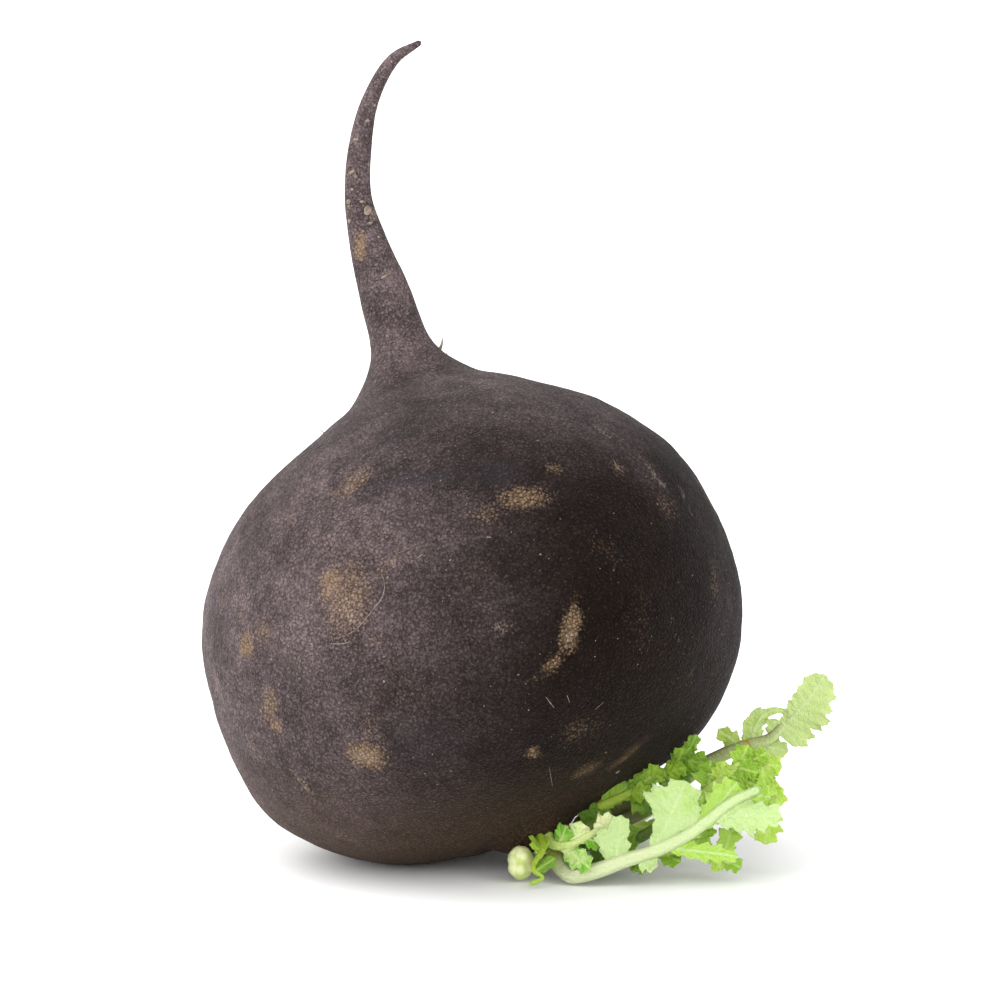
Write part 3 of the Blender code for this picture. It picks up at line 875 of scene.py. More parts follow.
@dataclass
class SkinMarks:
    """Patches painted into the skin's layers and thin scars raised on it."""

    seed: int = 41
    back_spots: int = 34
    back_ways: tuple = ((-1, 1), (-0.1, 1), (-0.75, 0.85))
    back_sizes: tuple = ((1.5, 5), (1.2, 4), (-60, 60), (0.4, 1))
    middle: Vector = field(default_factory=lambda: Vector((11.3, -5.1, 45.6)))
    outside: float = 90.0
    ragged_scale: float = 0.42
    ragged_reach: float = 1.1
    scurf_and_light_from: float = 37.0
    scurf_and_light_to: float = -21.0
    scurf_and_light_height: float = 58.0
    scurf_and_light_slant: float = 0.34
    earth_from: float = 30.0
    tail_scurf_and_light: float = 1.3
    neck_low: float = 76.0
    neck_high: float = 98.0
    spots: tuple = (
        (Mark.OCHRE, (
            (-10.6, 48.0, 5.6, 7.4, 0, 0.66), (-13.4, 50.2, 2.2, 3.2, 0, 0.95),
            (-9.6, 68.4, 4.8, 2.3, 30, 0.62), (-20.4, 62.0, 1.6, 2.0, 0, 0.45),
            (21.2, 65.8, 4.6, 2.5, 14, 0.85), (14.4, 62.8, 3.0, 1.9, 0, 0.55),
            (27.2, 71.0, 2.4, 1.3, 0, 0.50), (-28.8, 39.2, 1.9, 2.8, -15, 1.0),
            (-25.8, 41.6, 3.6, 2.6, 20, 0.55), (-33.4, 48.3, 3.0, 2.0, 0, 0.42),
            (-30.0, 45.0, 1.8, 1.8, 0, 0.45), (-24.6, 28.6, 2.2, 4.4, -22, 0.72),
            (-23.2, 24.5, 2.3, 1.9, 0, 0.90), (-6.8, 19.4, 3.8, 2.8, 0, 1.15),
            (-6.2, 25.0, 2.2, 3.0, 0, 0.42), (-5.4, 39.8, 2.0, 1.6, 30, 0.50),
            (29.8, 42.6, 1.8, 4.6, -12, 0.95), (26.6, 36.0, 1.3, 2.4, -38, 0.75),
            (24.2, 33.6, 2.4, 0.8, 5, 0.50), (23.2, 19.9, 2.2, 1.2, -35, 0.85),
            (31.6, 24.0, 4.4, 3.4, 0, 0.38), (33.0, 16.4, 2.8, 1.4, 0, 0.50),
            (40.2, 18.9, 4.2, 1.0, 22, 0.50), (38.6, 71.5, 1.8, 2.0, 0, 0.52),
            (47.7, 64.0, 3.2, 3.2, 0, 0.40), (56.2, 50.4, 1.6, 3.6, 0, 0.46),
            (-2.0, 54.6, 7.0, 1.5, 34, 0.42), (14.0, 52.0, 5.0, 3.0, 0, 0.22),
            (36.0, 57.0, 6.0, 3.4, -30, 0.24), (0.0, 30.6, 7.0, 2.6, 20, 0.20),
            (43.0, 44.0, 5.0, 7.0, 0, 0.20), (-8.9, 112.0, 1.7, 2.9, 8, 1.1),
        )),
        (Mark.CREAM, (
            (-9.6, 45.2, 3.2, 5.0, 0, 0.42), (-13.0, 58.6, 4.2, 1.6, 35, 0.30),
            (-34.6, 31.0, 1.2, 4.8, -6, 0.62), (-28.4, 20.4, 2.0, 3.6, -22, 0.45),
            (-18.2, 13.8, 3.6, 1.3, -38, 0.60), (-6.9, 19.2, 1.9, 1.4, 0, 0.75),
            (-11.3, 4.0, 3.4, 1.2, -10, 0.46), (-19.2, 36.0, 1.5, 2.8, -25, 0.46),
            (17.4, 42.2, 2.8, 1.8, 0, 0.42), (29.5, 40.8, 1.1, 2.4, -12, 0.60),
            (51.8, 33.2, 1.4, 3.4, -15, 0.34), (45.0, 70.6, 4.6, 0.7, -38, 0.75),
            (50.6, 66.0, 3.6, 0.7, -44, 0.70), (36.4, 77.6, 4.0, 0.6, -30, 0.60),
            (-5.0, 58.4, 5.0, 2.0, 30, 0.34), (-6.3, 118.9, 0.9, 2.4, -14, 1.1),
            (-10.9, 120.6, 0.7, 0.8, 0, 0.9),
        )),
        (Mark.EARTH, (
            (33.0, 16.5, 3.0, 1.9, 0, 1.0), (39.8, 18.7, 4.6, 1.5, 22, 1.0),
            (2.0, 3.5, 14.0, 4.2, 0, 0.55), (24.0, 8.0, 10.0, 4.0, 18, 0.60),
        )),
        # Painted sheen: pale spots on the upper shoulder and the right edge, where light grazes the skin.
        (Mark.SCURF_AND_PAINTED_LIGHT, (
            (41.0, 74.0, 11.0, 4.6, -38, 0.28), (26.0, 82.0, 12.0, 3.8, -22, 0.42),
            (58.0, 46.0, 4.4, 12.0, 0, 0.16),
        )),
        (Mark.DUSK, (
            (3.0, 69.4, 9.0, 1.8, 0, 1.0), (16.6, 70.6, 4.0, 2.4, 0, 1.0),
            (-4.0, 76.0, 7.0, 1.6, 12, 0.7), (-20.5, 33.5, 4.5, 2.8, 0, 0.6),
            (3.4, 22.0, 6.0, 5.0, 0, 0.6), (-33.0, 44.0, 3.0, 2.4, 0, 0.5),
        )),
    )
    scratches: tuple = (
        Scratch(
            ((-4.2, 52.4), (-3.6, 50.6), (-3.9, 48.2), (-5.8, 45.6), (-9.1, 41.9), (-12.7, 40.4)), 0.085
        ),
        Scratch(((-13.2, 39.6), (-11.3, 39.6), (-9.6, 40.0)), 0.09),
        Scratch(((25.4, 30.1), (26.2, 29.0), (26.9, 28.1)), 0.07),
        Scratch(((29.2, 30.4), (29.7, 29.0)), 0.06),
        Scratch(((34.2, 27.6), (35.0, 28.3), (35.8, 29.0)), 0.06),
        Scratch(((26.0, 17.4), (26.4, 15.2), (26.7, 13.5)), 0.05),
        Scratch(((37.6, 73.0), (38.4, 71.4), (39.6, 70.4)), 0.07),
        Scratch(((-19.9, 15.2), (-18.4, 13.8), (-17.2, 12.1)), 0.09),
        Scratch(((2.2, 55.0), (3.4, 55.8)), 0.07),
    )
    lenses: tuple = (
        (-7.3, 119.0, 0.75, 1.1, -14), (-10.4, 126.0, 0.8, 0.35, 25), (-9.6, 125.4, 0.5, 0.3, -40),
        (-9.5, 132.2, 0.55, 0.32, 0), (-7.3, 135.6, 0.45, 0.35, 0), (-6.1, 138.6, 0.4, 0.3, 10),
        (-10.9, 120.6, 0.6, 0.45, 10), (-8.2, 120.6, 0.6, 0.3, 0), (-6.9, 116.6, 0.7, 0.3, 20),
        (-10.7, 117.0, 0.4, 0.4, 0), (-3.9, 106.8, 1.1, 0.22, 35), (-4.6, 127.5, 0.3, 0.5, 0),
        (38.6, 15.9, 0.45, 0.3, 0), (-10.2, 122.9, 0.35, 0.25, 0), (-5.2, 114.0, 0.3, 0.3, 0),
    )
    lens_rise: float = 0.16
    lens_rings: int = 8
    lens_sides: int = 16
    scar_steps: int = 8
    scar_sides: int = 8

    def hit(self, tree: BVHTree, view: Viewpoint, across: float, up: float) -> tuple[Vector, Vector]:
        """The place on the skin that is seen at a place in the view.

        Args:
            tree: The root's faces, in metres.
            view: Where the viewer stands.
            across: Millimetres to the right of the origin.
            up: Millimetres above it.

        Returns:
            The point in metres and the way the skin faces there, or the nearest ones.
        """
        start = (view.place(across, up) - view.forward() * 300.0) * MM
        point, normal, _, _ = tree.ray_cast(start, view.forward())
        if point is None:
            point, normal, _, _ = tree.find_nearest(view.place(across, up) * MM)
        return point, normal

    def paint(self, root: bpy.types.Object, view: Viewpoint) -> BVHTree:
        """Fills the skin's layers with the spots seen in front and with more of them all round.

        Args:
            root: The root.
            view: Where the viewer stands.

        Returns:
            The root's faces, for what is set on them.
        """
        bm = bmesh.new()
        bm.from_mesh(root.data)
        tree = BVHTree.FromBMesh(bm)
        bm.free()
        count = len(root.data.vertices)
        places = np.empty(count * 3)
        root.data.vertices.foreach_get("co", places)
        places = places.reshape(-1, 3)
        noise.seed_set(self.seed)
        push = [noise.noise_vector(Vector(p) / MM * self.ragged_scale) for p in places]
        ragged = places + np.array(push) * self.ragged_reach * MM
        layers = {mark: np.zeros(count) for mark in Mark}
        right = Vector((1.0, 0.0, 0.0))
        for mark, rows in self.spots:
            for across, up, *shape in rows:
                where = self.hit(tree, view, across, up)
                self.add_spot(layers[mark], ragged, Spot(*shape), where, right)
        # The scurf-and-light layer rises towards the left side and up the tail: partly real scurf, partly
        # painted light where the left lamp falls.
        lowered = np.clip(self.scurf_and_light_height * MM - ragged[:, 2], 0.0, None) * self.scurf_and_light_slant
        reach = self.scurf_and_light_from * MM - ragged[:, 0] - lowered
        side = np.clip(reach / ((self.scurf_and_light_from - self.scurf_and_light_to) * MM), 0.0, 1.0)
        risen = (ragged[:, 2] - self.neck_low * MM) / ((self.neck_high - self.neck_low) * MM)
        tail = self.tail_scurf_and_light * np.clip(risen, 0.0, 1.0)
        layers[Mark.SCURF_AND_PAINTED_LIGHT] = np.maximum(np.maximum(layers[Mark.SCURF_AND_PAINTED_LIGHT], eased(side)), tail)
        low = np.clip(1.0 - ragged[:, 2] / (self.earth_from * MM), 0.0, 1.0)
        layers[Mark.EARTH] = np.maximum(layers[Mark.EARTH], eased(low))
        chance = random.Random(self.seed)
        for _ in range(self.back_spots):
            way = Vector([chance.uniform(low, high) for low, high in self.back_ways]).normalized()
            point, normal, _, _ = tree.ray_cast((self.middle + way * self.outside) * MM, -way)
            mark = chance.choice((Mark.OCHRE, Mark.OCHRE, Mark.CREAM, Mark.DUSK, Mark.EARTH))
            spot = Spot(*(chance.uniform(low, high) for low, high in self.back_sizes))
            level = Vector((normal.y, -normal.x, 0.01))
            self.add_spot(layers[mark], ragged, spot, (point, normal), level)
        for mark, values in layers.items():
            root.data.attributes[mark.value].data.foreach_set("value", values)
        return tree

    def add_spot(
        self,
        layer: np.ndarray,
        places: np.ndarray,
        spot: Spot,
        where: tuple[Vector, Vector],
        right: Vector,
    ) -> None:
        """Adds one spot to a layer.

        Args:
            layer: The layer's values, changed in place.
            places: Each point's place, made ragged, in metres.
            spot: The spot.
            where: Its middle on the skin, in metres, and the way the skin faces there.
            right: Roughly the direction of its width.
        """
        point, normal = where
        wide = (right - normal * right.dot(normal)).normalized()
        high = normal.cross(wide)
        wide, high = turned_pair(wide, high, math.radians(spot.turn))
        if high.z < 0 and abs(spot.turn) < 1:
            high = -high
        away = places - np.array(point)
        a = away @ np.array(wide) / (spot.wide * MM)
        b = away @ np.array(high) / (spot.high * MM)
        c = away @ np.array(normal) / (max(spot.wide, spot.high) * MM)
        np.maximum(layer, spot.strength * np.exp(-((a * a + b * b + c * c) ** 1.3) * 0.8), out=layer)

    def raise_scars(
        self, tree: BVHTree, view: Viewpoint, material: bpy.types.Material
    ) -> bpy.types.Object:
        """Makes the thin scars and the small pale lenses on the tail, half sunk in the skin.

        Args:
            tree: The root's faces.
            view: Where the viewer stands.
            material: The cork.

        Returns:
            The object.
        """
        draft = Draft()
        for scratch in self.scratches:
            places = [(*place, 0.0) for place in scratch.places]
            fine = smooth_through(places, [self.scar_steps] * (len(places) - 1))
            hits = [self.hit(tree, view, place.x, place.y) for place in fine]
            rings = []
            for i, (point, normal) in enumerate(hits):
                ahead = (hits[min(i + 1, len(hits) - 1)][0] - hits[max(i - 1, 0)][0]).normalized()
                side = ahead.cross(normal).normalized()
                taper = math.sin(math.pi * (i + 0.6) / (len(hits) + 0.2)) ** 0.5
                wobble = 1 + 0.35 * noise.noise(point * 900)
                ring = []
                for k in range(self.scar_sides):
                    turn = 2 * math.pi * k / self.scar_sides
                    spoke = side * math.cos(turn) + normal * math.sin(turn) * 0.7
                    ring.append(draft.add(point / MM + spoke * scratch.width * taper * wobble))
                rings.append(ring)
            draft.tube(rings, hits[0][0] / MM, hits[-1][0] / MM)
        for across, up, wide, high, turn in self.lenses:
            point, normal = self.hit(tree, view, across, up)
            self.add_lens(draft, (point / MM, normal), wide, high, math.radians(turn))
        return draft.finish("skin_scars", material)

    def add_lens(
        self, draft: Draft, where: tuple[Vector, Vector], wide: float, high: float, turn: float
    ) -> None:
        """Adds one pale lens.

        Args:
            draft: The mesh to add it to.
            where: Its middle and the way the skin faces there.
            wide: Half its width.
            high: Half its height.
            turn: How it is turned, in radians.
        """
        point, normal = where
        side = Vector((1.0, 0.0, 0.0))
        side = (side - normal * side.dot(normal)).normalized()
        up = normal.cross(side)
        side, up = turned_pair(side, up, turn)
        rings = []
        for i in range(1, self.lens_rings):
            polar = math.pi * i / self.lens_rings
            ring = []
            for k in range(self.lens_sides):
                angle = 2 * math.pi * k / self.lens_sides
                cos, sin = math.cos(angle), math.sin(angle)
                rough = 1 + 0.25 * noise.noise(point * 3 + Vector((cos, sin, i)) * 1.3)
                flat = side * cos * wide + up * sin * high
                place = point + flat * math.sin(polar) * rough
                ring.append(draft.add(place - normal * math.cos(polar) * self.lens_rise))
            rings.append(ring)
        draft.tube(rings, point - normal * self.lens_rise, point + normal * self.lens_rise)


@dataclass
class Rootlets:
    """Dry rootlets and scales left on the neck and the shoulder."""

    strands: tuple = (
        ((-5.6, -1.2, 49.2), (0.35, -0.2, 0.9), 2.9, 0.50),
        ((-5.4, 1.0, 48.6), (0.8, 0.2, 0.5), 1.8, 0.42),
        ((-1.9, -0.6, 45.4), (0.2, -0.3, 0.9), 1.7, 0.42),
        ((-26.4, -0.5, 34.2), (-0.6, -0.1, 0.7), 1.5, 0.16),
        ((-5.2, -1.6, 48.2), (0.9, -0.3, 0.2), 1.7, 0.26),
        ((-4.4, -1.0, 47.2), (0.5, -0.5, 0.8), 1.3, 0.24),
        ((-2.6, -1.4, 45.8), (-0.2, -0.5, 0.8), 1.0, 0.24),
        ((-0.9, -0.6, 44.6), (0.7, -0.2, 0.6), 1.1, 0.18),
    )
    sides: int = 9
    steps: int = 14
    sunk: float = 0.9

    def build(self, root: Root, material: bpy.types.Material) -> bpy.types.Object:
        """Makes the strands, each bent and tapered to a point.

        Args:
            root: The root that they grow on.
            material: The cork.

        Returns:
            The object.
        """
        draft = Draft()
        for index, (start, direction, length, radius) in enumerate(self.strands):
            along = Vector(direction).normalized()
            side = along.orthogonal().normalized()
            depth = along.cross(side)
            rings = []
            for i in range(self.steps):
                share = i / (self.steps - 1)
                sway = side * math.sin(share * 3.1 + index) * 0.16 * length
                sway += depth * share * share * 0.12 * length
                risen = share * (length + self.sunk) - self.sunk
                centre = Vector(start) + along * risen + sway * share
                width = radius * (1 - share) ** 0.7 + 0.03
                ring = []
                for k in range(self.sides):
                    turn = 2 * math.pi * k / self.sides
                    ridge = 1 + 0.22 * math.cos(3 * turn + index)
                    spoke = side * math.cos(turn) + depth * math.sin(turn) * 0.7
                    ring.append(draft.add(root.placed(centre + spoke * width * ridge)))
                rings.append(ring)
            foot = Vector(start) - along * self.sunk
            draft.tube(rings, root.placed(foot), root.placed(centre + along * 0.1))
        return draft.finish("rootlets", material)


@dataclass(frozen=True)
class Lobe:
    """One toothed lobe of a leaf: where on the rib it starts, which way it points, its size.

    Its outline may be given as rows of share of the length, half width towards the rib's base (or above
    the rib's tip) and half width towards the rib's tip.
    """

    along: float
    side: Side
    sweep: float
    length: float
    breadth: float
    lean: float = 0.0
    curl: float = 0.0
    teeth: int = 3
    hook: float = 0.0
    fan: float = 1.25
    outline: tuple = ()
    tint: float = 0.0


@dataclass
class Leaf:
    """A young leaf: its rib's line from the crown, the way its blade faces, its lobes and its finish."""

    name: str
    rib: tuple
    stalk: float
    tip: float
    face: tuple
    lobes: tuple
    look: LeafFinish
    nick: float = -1.0
    lower_side_shade_tone: float = 0.15
    base_tone: float = 0.5
    shaded_to: float = 0.0
    shaded_top: float = 0.0
    taper: float = 0.8
    bared: float = 1.0
    flatness: float = 0.8
    rib_steps: int = 16
    rib_sides: int = 22
    rows_per_tooth: int = 18
    columns: int = 21
    lobe_sunk: float = 1.2
    hidden_start: float = 0.9
    tooth_depth: float = 0.2
    outline_tooth: float = 0.1
    tooth_hook: float = 0.45
    hook_ease: float = 1.6
    cupping: float = 0.12
    ruffles: float = 3.0
    ruffle_height: float = 0.16
    pucker_height: float = 0.07
    spine_height: float = 0.34
    small_tooth: float = 0.07
    outline_drift: float = 0.34
    margin_drift: float = 0.18
    tone_spread: float = 1.5
    nick_width: float = 0.015
    half_blade: float = 0.15
    half_margin: float = 0.06
    floor_gap: float = 0.25

    def shade_at(self, share: float) -> float:
        """How much painted shade the leaf has at a share of the rib's length."""
        if not self.shaded_to:
            return 0.0
        return min(1.0, max(0.0, 2.2 * (1.0 - share / self.shaded_to)))

    def coarse_frames(self) -> list[tuple]:
        """Points, directions and upper side of the rib at two places to a span.

        Returns:
            Rows of point, tangent, upper and outward.
        """
        points = smooth_through(self.rib, [2] * (len(self.rib) - 1))
        face = Vector(self.face).normalized()
        frames = []
        for i, point in enumerate(points):
            ahead = points[min(i + 1, len(points) - 1)] - points[max(i - 1, 0)]
            tangent = ahead.normalized()
            upper = face.cross(tangent).normalized()
            frames.append((point, tangent, upper, tangent.cross(upper)))
        return frames

    def add_rib(self, draft: Draft, frames: list[tuple]) -> tuple:
        """Adds the stalk and rib: a tapered tube with slight ridges and a groove on its face.

        Args:
            draft: The leaf's mesh.
            frames: The rib's frames.

        Returns:
            A search tree of the rib's points, and each one's radius and way outward.
        """
        points = smooth_through(self.rib, [self.rib_steps] * (len(self.rib) - 1))
        last = len(points) - 1
        ratio = (len(frames) - 1) / last
        rings = []
        tree = KDTree(len(points))
        rows = []
        for i, point in enumerate(points):
            share = i / last
            low = min(int(i * ratio), len(frames) - 2)
            mix = i * ratio - low
            _, _, upper, outward = (frames[low][n].lerp(frames[low + 1][n], mix) for n in range(4))
            radius = self.stalk + (self.tip - self.stalk) * share**self.taper
            begun = min(1.0, 0.03 + 0.97 * (point - points[0]).length / self.stalk)
            radius *= math.sqrt(1.0 - (1.0 - begun) ** 2)
            tree.insert(point, i)
            rows.append((radius, outward.normalized()))
            nick = math.exp(-(((share - self.nick) / self.nick_width) ** 2)) if self.nick > 0 else 0.0
            shade = self.shade_at(share)
            ring = []
            for k in range(self.rib_sides):
                turn = 2 * math.pi * k / self.rib_sides
                groove = 0.16 * math.exp(-((math.cos(turn) / 0.35) ** 2)) if math.sin(turn) > 0 else 0.0
                ridges = 1 + 0.045 * math.cos(6 * turn + 1.7 * share) - groove * min(1.0, share * 4)
                lumps = 1 + 0.05 * noise.noise(point * 0.5 + Vector((turn, 0.0, 0.0)))
                spoke = upper * math.cos(turn) + outward * math.sin(turn) * self.flatness
                place = point + spoke * radius * ridges * lumps * (1 - 0.12 * nick)
                place.z = max(place.z, self.floor_gap)
                # Painted shade: the rib's upper side made darker olive, as where it lies in shadow.
                dusk = max(shade, self.shaded_top * max(0.0, 0.35 + 0.65 * math.cos(turn)))
                tones = {"stalk": 1.0 - 0.85 * share, "vein": 1.0 - 0.35 * share}
                ring.append(draft.add(place, nick=nick, shade=dusk, **tones))
            rings.append(ring)
        end = points[-1] + frames[-1][1] * self.tip
        draft.tube(rings, points[0], end, stalk=0.5, vein=1.0)
        tree.balance()
        return tree, rows

    def tooth(self, lobe: Lobe, phase: float, hand: int) -> tuple[float, float]:
        """The margin's reach and forward push at a place along it.

        Args:
            lobe: The lobe.
            phase: Teeth counted from the lobe's foot; a tip is at each half.
            hand: Which margin, -1 or 1.

        Returns:
            The change of breadth, as a share, and the push, as a share of half a tooth.
        """
        depth = self.outline_tooth if lobe.outline else self.tooth_depth
        turn = phase % 1.0
        own = noise.noise(Vector((math.floor(phase) * 3.7, lobe.along * 41, hand * 5.3)))
        top = 0.56 + 0.16 * own
        if turn < top:
            rise = math.sin(math.pi / 2 * turn / top) ** 1.15
        else:
            rise = 1.0 - ((turn - top) / (1.0 - top)) ** 0.6
        small = (phase * 4.0 + 0.7 * own) % 1.0
        nip = min(small / 0.7, (1.0 - small) / 0.3)
        slow = noise.noise(Vector((phase * 0.8 + 9.0, lobe.length, hand * 2.1)))
        slow *= self.outline_drift if lobe.outline else self.margin_drift
        reach = -depth + rise * 2 * depth * (1.15 + 0.7 * own) + (nip - 0.5) * self.small_tooth + slow
        return reach, rise * rise * (1.0 + 0.7 * own)

    def tucked(self, ribs: tuple, point: Vector) -> Vector:
        """Moves a blade's point back behind the rib's face where the two cross.

        Args:
            ribs: The search tree of the rib's points, and each one's radius and way outward.
            point: The blade's point.

        Returns:
            The moved point.
        """
        tree, rows = ribs
        nearest, index, _ = tree.find(point)
        radius, outward = rows[index]
        away = point - nearest
        depth = away.dot(outward)
        beside = (away - outward * depth).length
        weight = min(1.0, max(0.0, (2.0 * radius - beside) / (0.9 * radius)))
        return point - outward * (max(0.0, depth - 0.05 * radius) * weight * self.bared)

    def half_widths(self, lobe: Lobe, share: float) -> tuple[float, float]:
        """Half widths of a lobe at a share of its length.

        Args:
            lobe: The lobe.
            share: How far along it is.

        Returns:
            The half width towards the rib's tip and towards its base, in millimetres.
        """
        rounded = 1 - 0.75 * max(0.0, (share - 0.93) / 0.07) ** 2
        if not lobe.outline:
            foot = 0.24 * (1 - share)
            half = lobe.breadth * (foot + math.sin(math.pi * share**lobe.fan * 0.93) ** 0.75) * rounded
            return half, half
        for (low, base_low, tip_low), (high, base_high, tip_high) in zip(lobe.outline, lobe.outline[1:]):
            if share <= high:
                mix = (share - low) / (high - low)
                mix = mix * 0.5 + mix * mix * (3 - 2 * mix) * 0.5
                return tip_low + (tip_high - tip_low) * mix, base_low + (base_high - base_low) * mix
        return lobe.outline[-1][2], lobe.outline[-1][1]

    def lobe_lines(self, lobe: Lobe, frames: list[tuple]) -> tuple[list[Vector], Vector, Vector, Vector]:
        """The lobe's middle line and the directions that it starts with.

        Args:
            lobe: The lobe.
            frames: The rib's frames.

        Returns:
            The middle line's points at half teeth, then the ways along, across and outward.
        """
        where = lobe.along * (len(frames) - 1)
        low = min(int(where), len(frames) - 2)
        mix = where - low
        start = frames[low][0].lerp(frames[low + 1][0], mix)
        ways = (frames[low][n].lerp(frames[low + 1][n], mix) for n in (1, 2, 3))
        tangent, upper, outward = (way.normalized() for way in ways)
        sweep, lean = math.radians(lobe.sweep), math.radians(lobe.lean)
        side = lobe.side.value
        flat = tangent * math.cos(sweep) + upper * (side * math.sin(sweep))
        across = upper * (side * math.cos(sweep)) - tangent * math.sin(sweep)
        if lobe.side is Side.TIP:
            flat, across = tangent, upper
        along = flat * math.cos(lean) + outward * math.sin(lean)
        normal = outward * math.cos(lean) - flat * math.sin(lean)
        count = 2 * lobe.teeth
        centre = start - along * self.lobe_sunk
        step = (lobe.length + self.lobe_sunk) / count
        line = [centre]
        for i in range(count):
            forward, _, _ = self.turned(lobe, along, across, normal, i / count)
            line.append(line[-1] + forward * step)
        return line, along, across, normal

    def turned(self, lobe: Lobe, along: Vector, across: Vector, normal: Vector, share: float) -> tuple:
        """The lobe's own directions at a share of its length, after its hook and curl.

        Args:
            lobe: The lobe.
            along: The way it starts.
            across: The way across it at the start.
            normal: The way it faces at the start.
            share: How far along it is.

        Returns:
            The ways forward, sideways and facing.
        """
        hand = lobe.side.value or 1
        turn = math.radians(lobe.hook) * share**self.hook_ease
        heading = along * math.cos(turn) + across * (math.sin(turn) * hand)
        sideways = across * math.cos(turn) - along * (math.sin(turn) * hand)
        bend = math.radians(lobe.curl) * share**1.3
        forward = heading * math.cos(bend) + normal * math.sin(bend)
        facing = normal * math.cos(bend) - heading * math.sin(bend)
        return forward, sideways, facing

    def add_lobe(self, draft: Draft, lobe: Lobe, frames: list[tuple], ribs: tuple) -> None:
        """Adds one lobe: a thin closed sheet with teeth, veins and a puckered blade.

        Args:
            draft: The leaf's mesh.
            lobe: The lobe.
            frames: The rib's frames.
            ribs: What the rib gave back, to keep the blade behind its face.
        """
        line, along, across, normal = self.lobe_lines(lobe, frames)
        coarse = 2 * lobe.teeth
        step = (lobe.length + self.lobe_sunk) / coarse
        fine = self.rows_per_tooth // 2
        centres = smooth_through(line, [fine] * coarse)
        own = noise.noise(Vector((lobe.along * 13, lobe.length, lobe.side.value * 2.0)))
        tone = self.base_tone + self.tone_spread * own + lobe.tint
        # Lobes on the lower side are deeper green: partly painted shade, partly the leaf's own deeper
        # colour.
        if lobe.side is Side.LEFT:
            tone += self.lower_side_shade_tone
        # Painted shade on lobes that start near the crown.
        shade = self.shade_at(lobe.along)
        entry = int(self.hidden_start / (lobe.length + self.lobe_sunk) * (len(centres) - 1))
        front = []
        back = []
        for i, centre in enumerate(centres):
            if i < entry:
                continue
            share = i / (len(centres) - 1)
            free = eased(min(1.0, max(0.0, (share - 0.08) / 0.22)))
            forward, sideways, facing = self.turned(lobe, along, across, normal, share)
            tip_side, base_side = self.half_widths(lobe, share)
            teeth = {hand: self.tooth(lobe, share * lobe.teeth, hand) for hand in (-1, 1)}
            inner = min(1.0, share * coarse) * min(1.0, (1 - share) * coarse * 1.4 + 0.35)
            front_row = []
            back_row = []
            for k in range(self.columns):
                v = -1 + 2 * k / (self.columns - 1)
                base = tip_side if v < 0 else base_side
                reach, push = teeth[-1 if v < 0 else 1]
                rim = abs(v) ** 2.5
                breadth = base * (1 + reach * rim * inner)
                wave = math.sin(self.ruffles * math.pi * share + lobe.along * 9) * abs(v) ** 1.5
                frill = math.sin(17 * share + 5 * v + lobe.along * 31) * abs(v) ** 3 * 0.05
                bent = self.cupping * v * v + self.ruffle_height * wave + frill
                lift = bent * min(breadth, lobe.breadth * 1.2) * free
                slip = share * lobe.teeth + 0.9 * (1 - abs(v)) - 0.5
                gap = abs(slip - round(slip))
                branch = math.exp(-((gap / 0.07) ** 2)) * (1 - 0.45 * abs(v)) * min(1.0, share * 5)
                spine = math.exp(-((v * base / (0.34 - 0.16 * share)) ** 2))
                pucker = math.cos(2 * math.pi * slip) * self.pucker_height * math.sin(math.pi * abs(v))
                pucker *= min(1.0, base / 1.5) * free
                point = centre + sideways * (v * breadth) + facing * (lift - pucker)
                point += forward * (step * self.tooth_hook * push * rim * inner)
                point += facing * (noise.noise(point * 0.9) * 0.16 * abs(v))
                point = self.tucked(ribs, point)
                half = self.half_blade + (self.half_margin - self.half_blade) * abs(v) ** 4
                thick = self.spine_height * spine * (1 - share) ** 0.8
                thick *= min(1.0, lobe.breadth / 2.4) * (0.3 + 0.7 * free)
                values = {
                    "vein": max(branch * 0.7, spine),
                    "margin": abs(v) ** 6,
                    "stalk": max(0.0, 0.75 - share * 4.0) * spine,
                    "tone": tone + 0.35 * (share - 0.5),
                    "shade": shade,
                }
                for row, sign, ridge in ((front_row, 1, -0.05 * branch), (back_row, -1, 0.10 * branch)):
                    place = point + facing * (sign * (half + ridge + thick))
                    place.z = max(place.z, self.floor_gap)
                    row.append(draft.add(place, **values))
            front.append(front_row)
            back.append(back_row)
        draft.sheet(front, back)

    def build(self) -> bpy.types.Object:
        """Makes the leaf: its rib with every lobe.

        Returns:
            The object.
        """
        draft = Draft("vein", "margin", "stalk", "nick", "tone", "shade")
        frames = self.coarse_frames()
        ribs = self.add_rib(draft, frames)
        for lobe in self.lobes:
            self.add_lobe(draft, lobe, frames, ribs)
        return draft.finish(self.name + "_fine", self.look.make(self.name + "_green"))


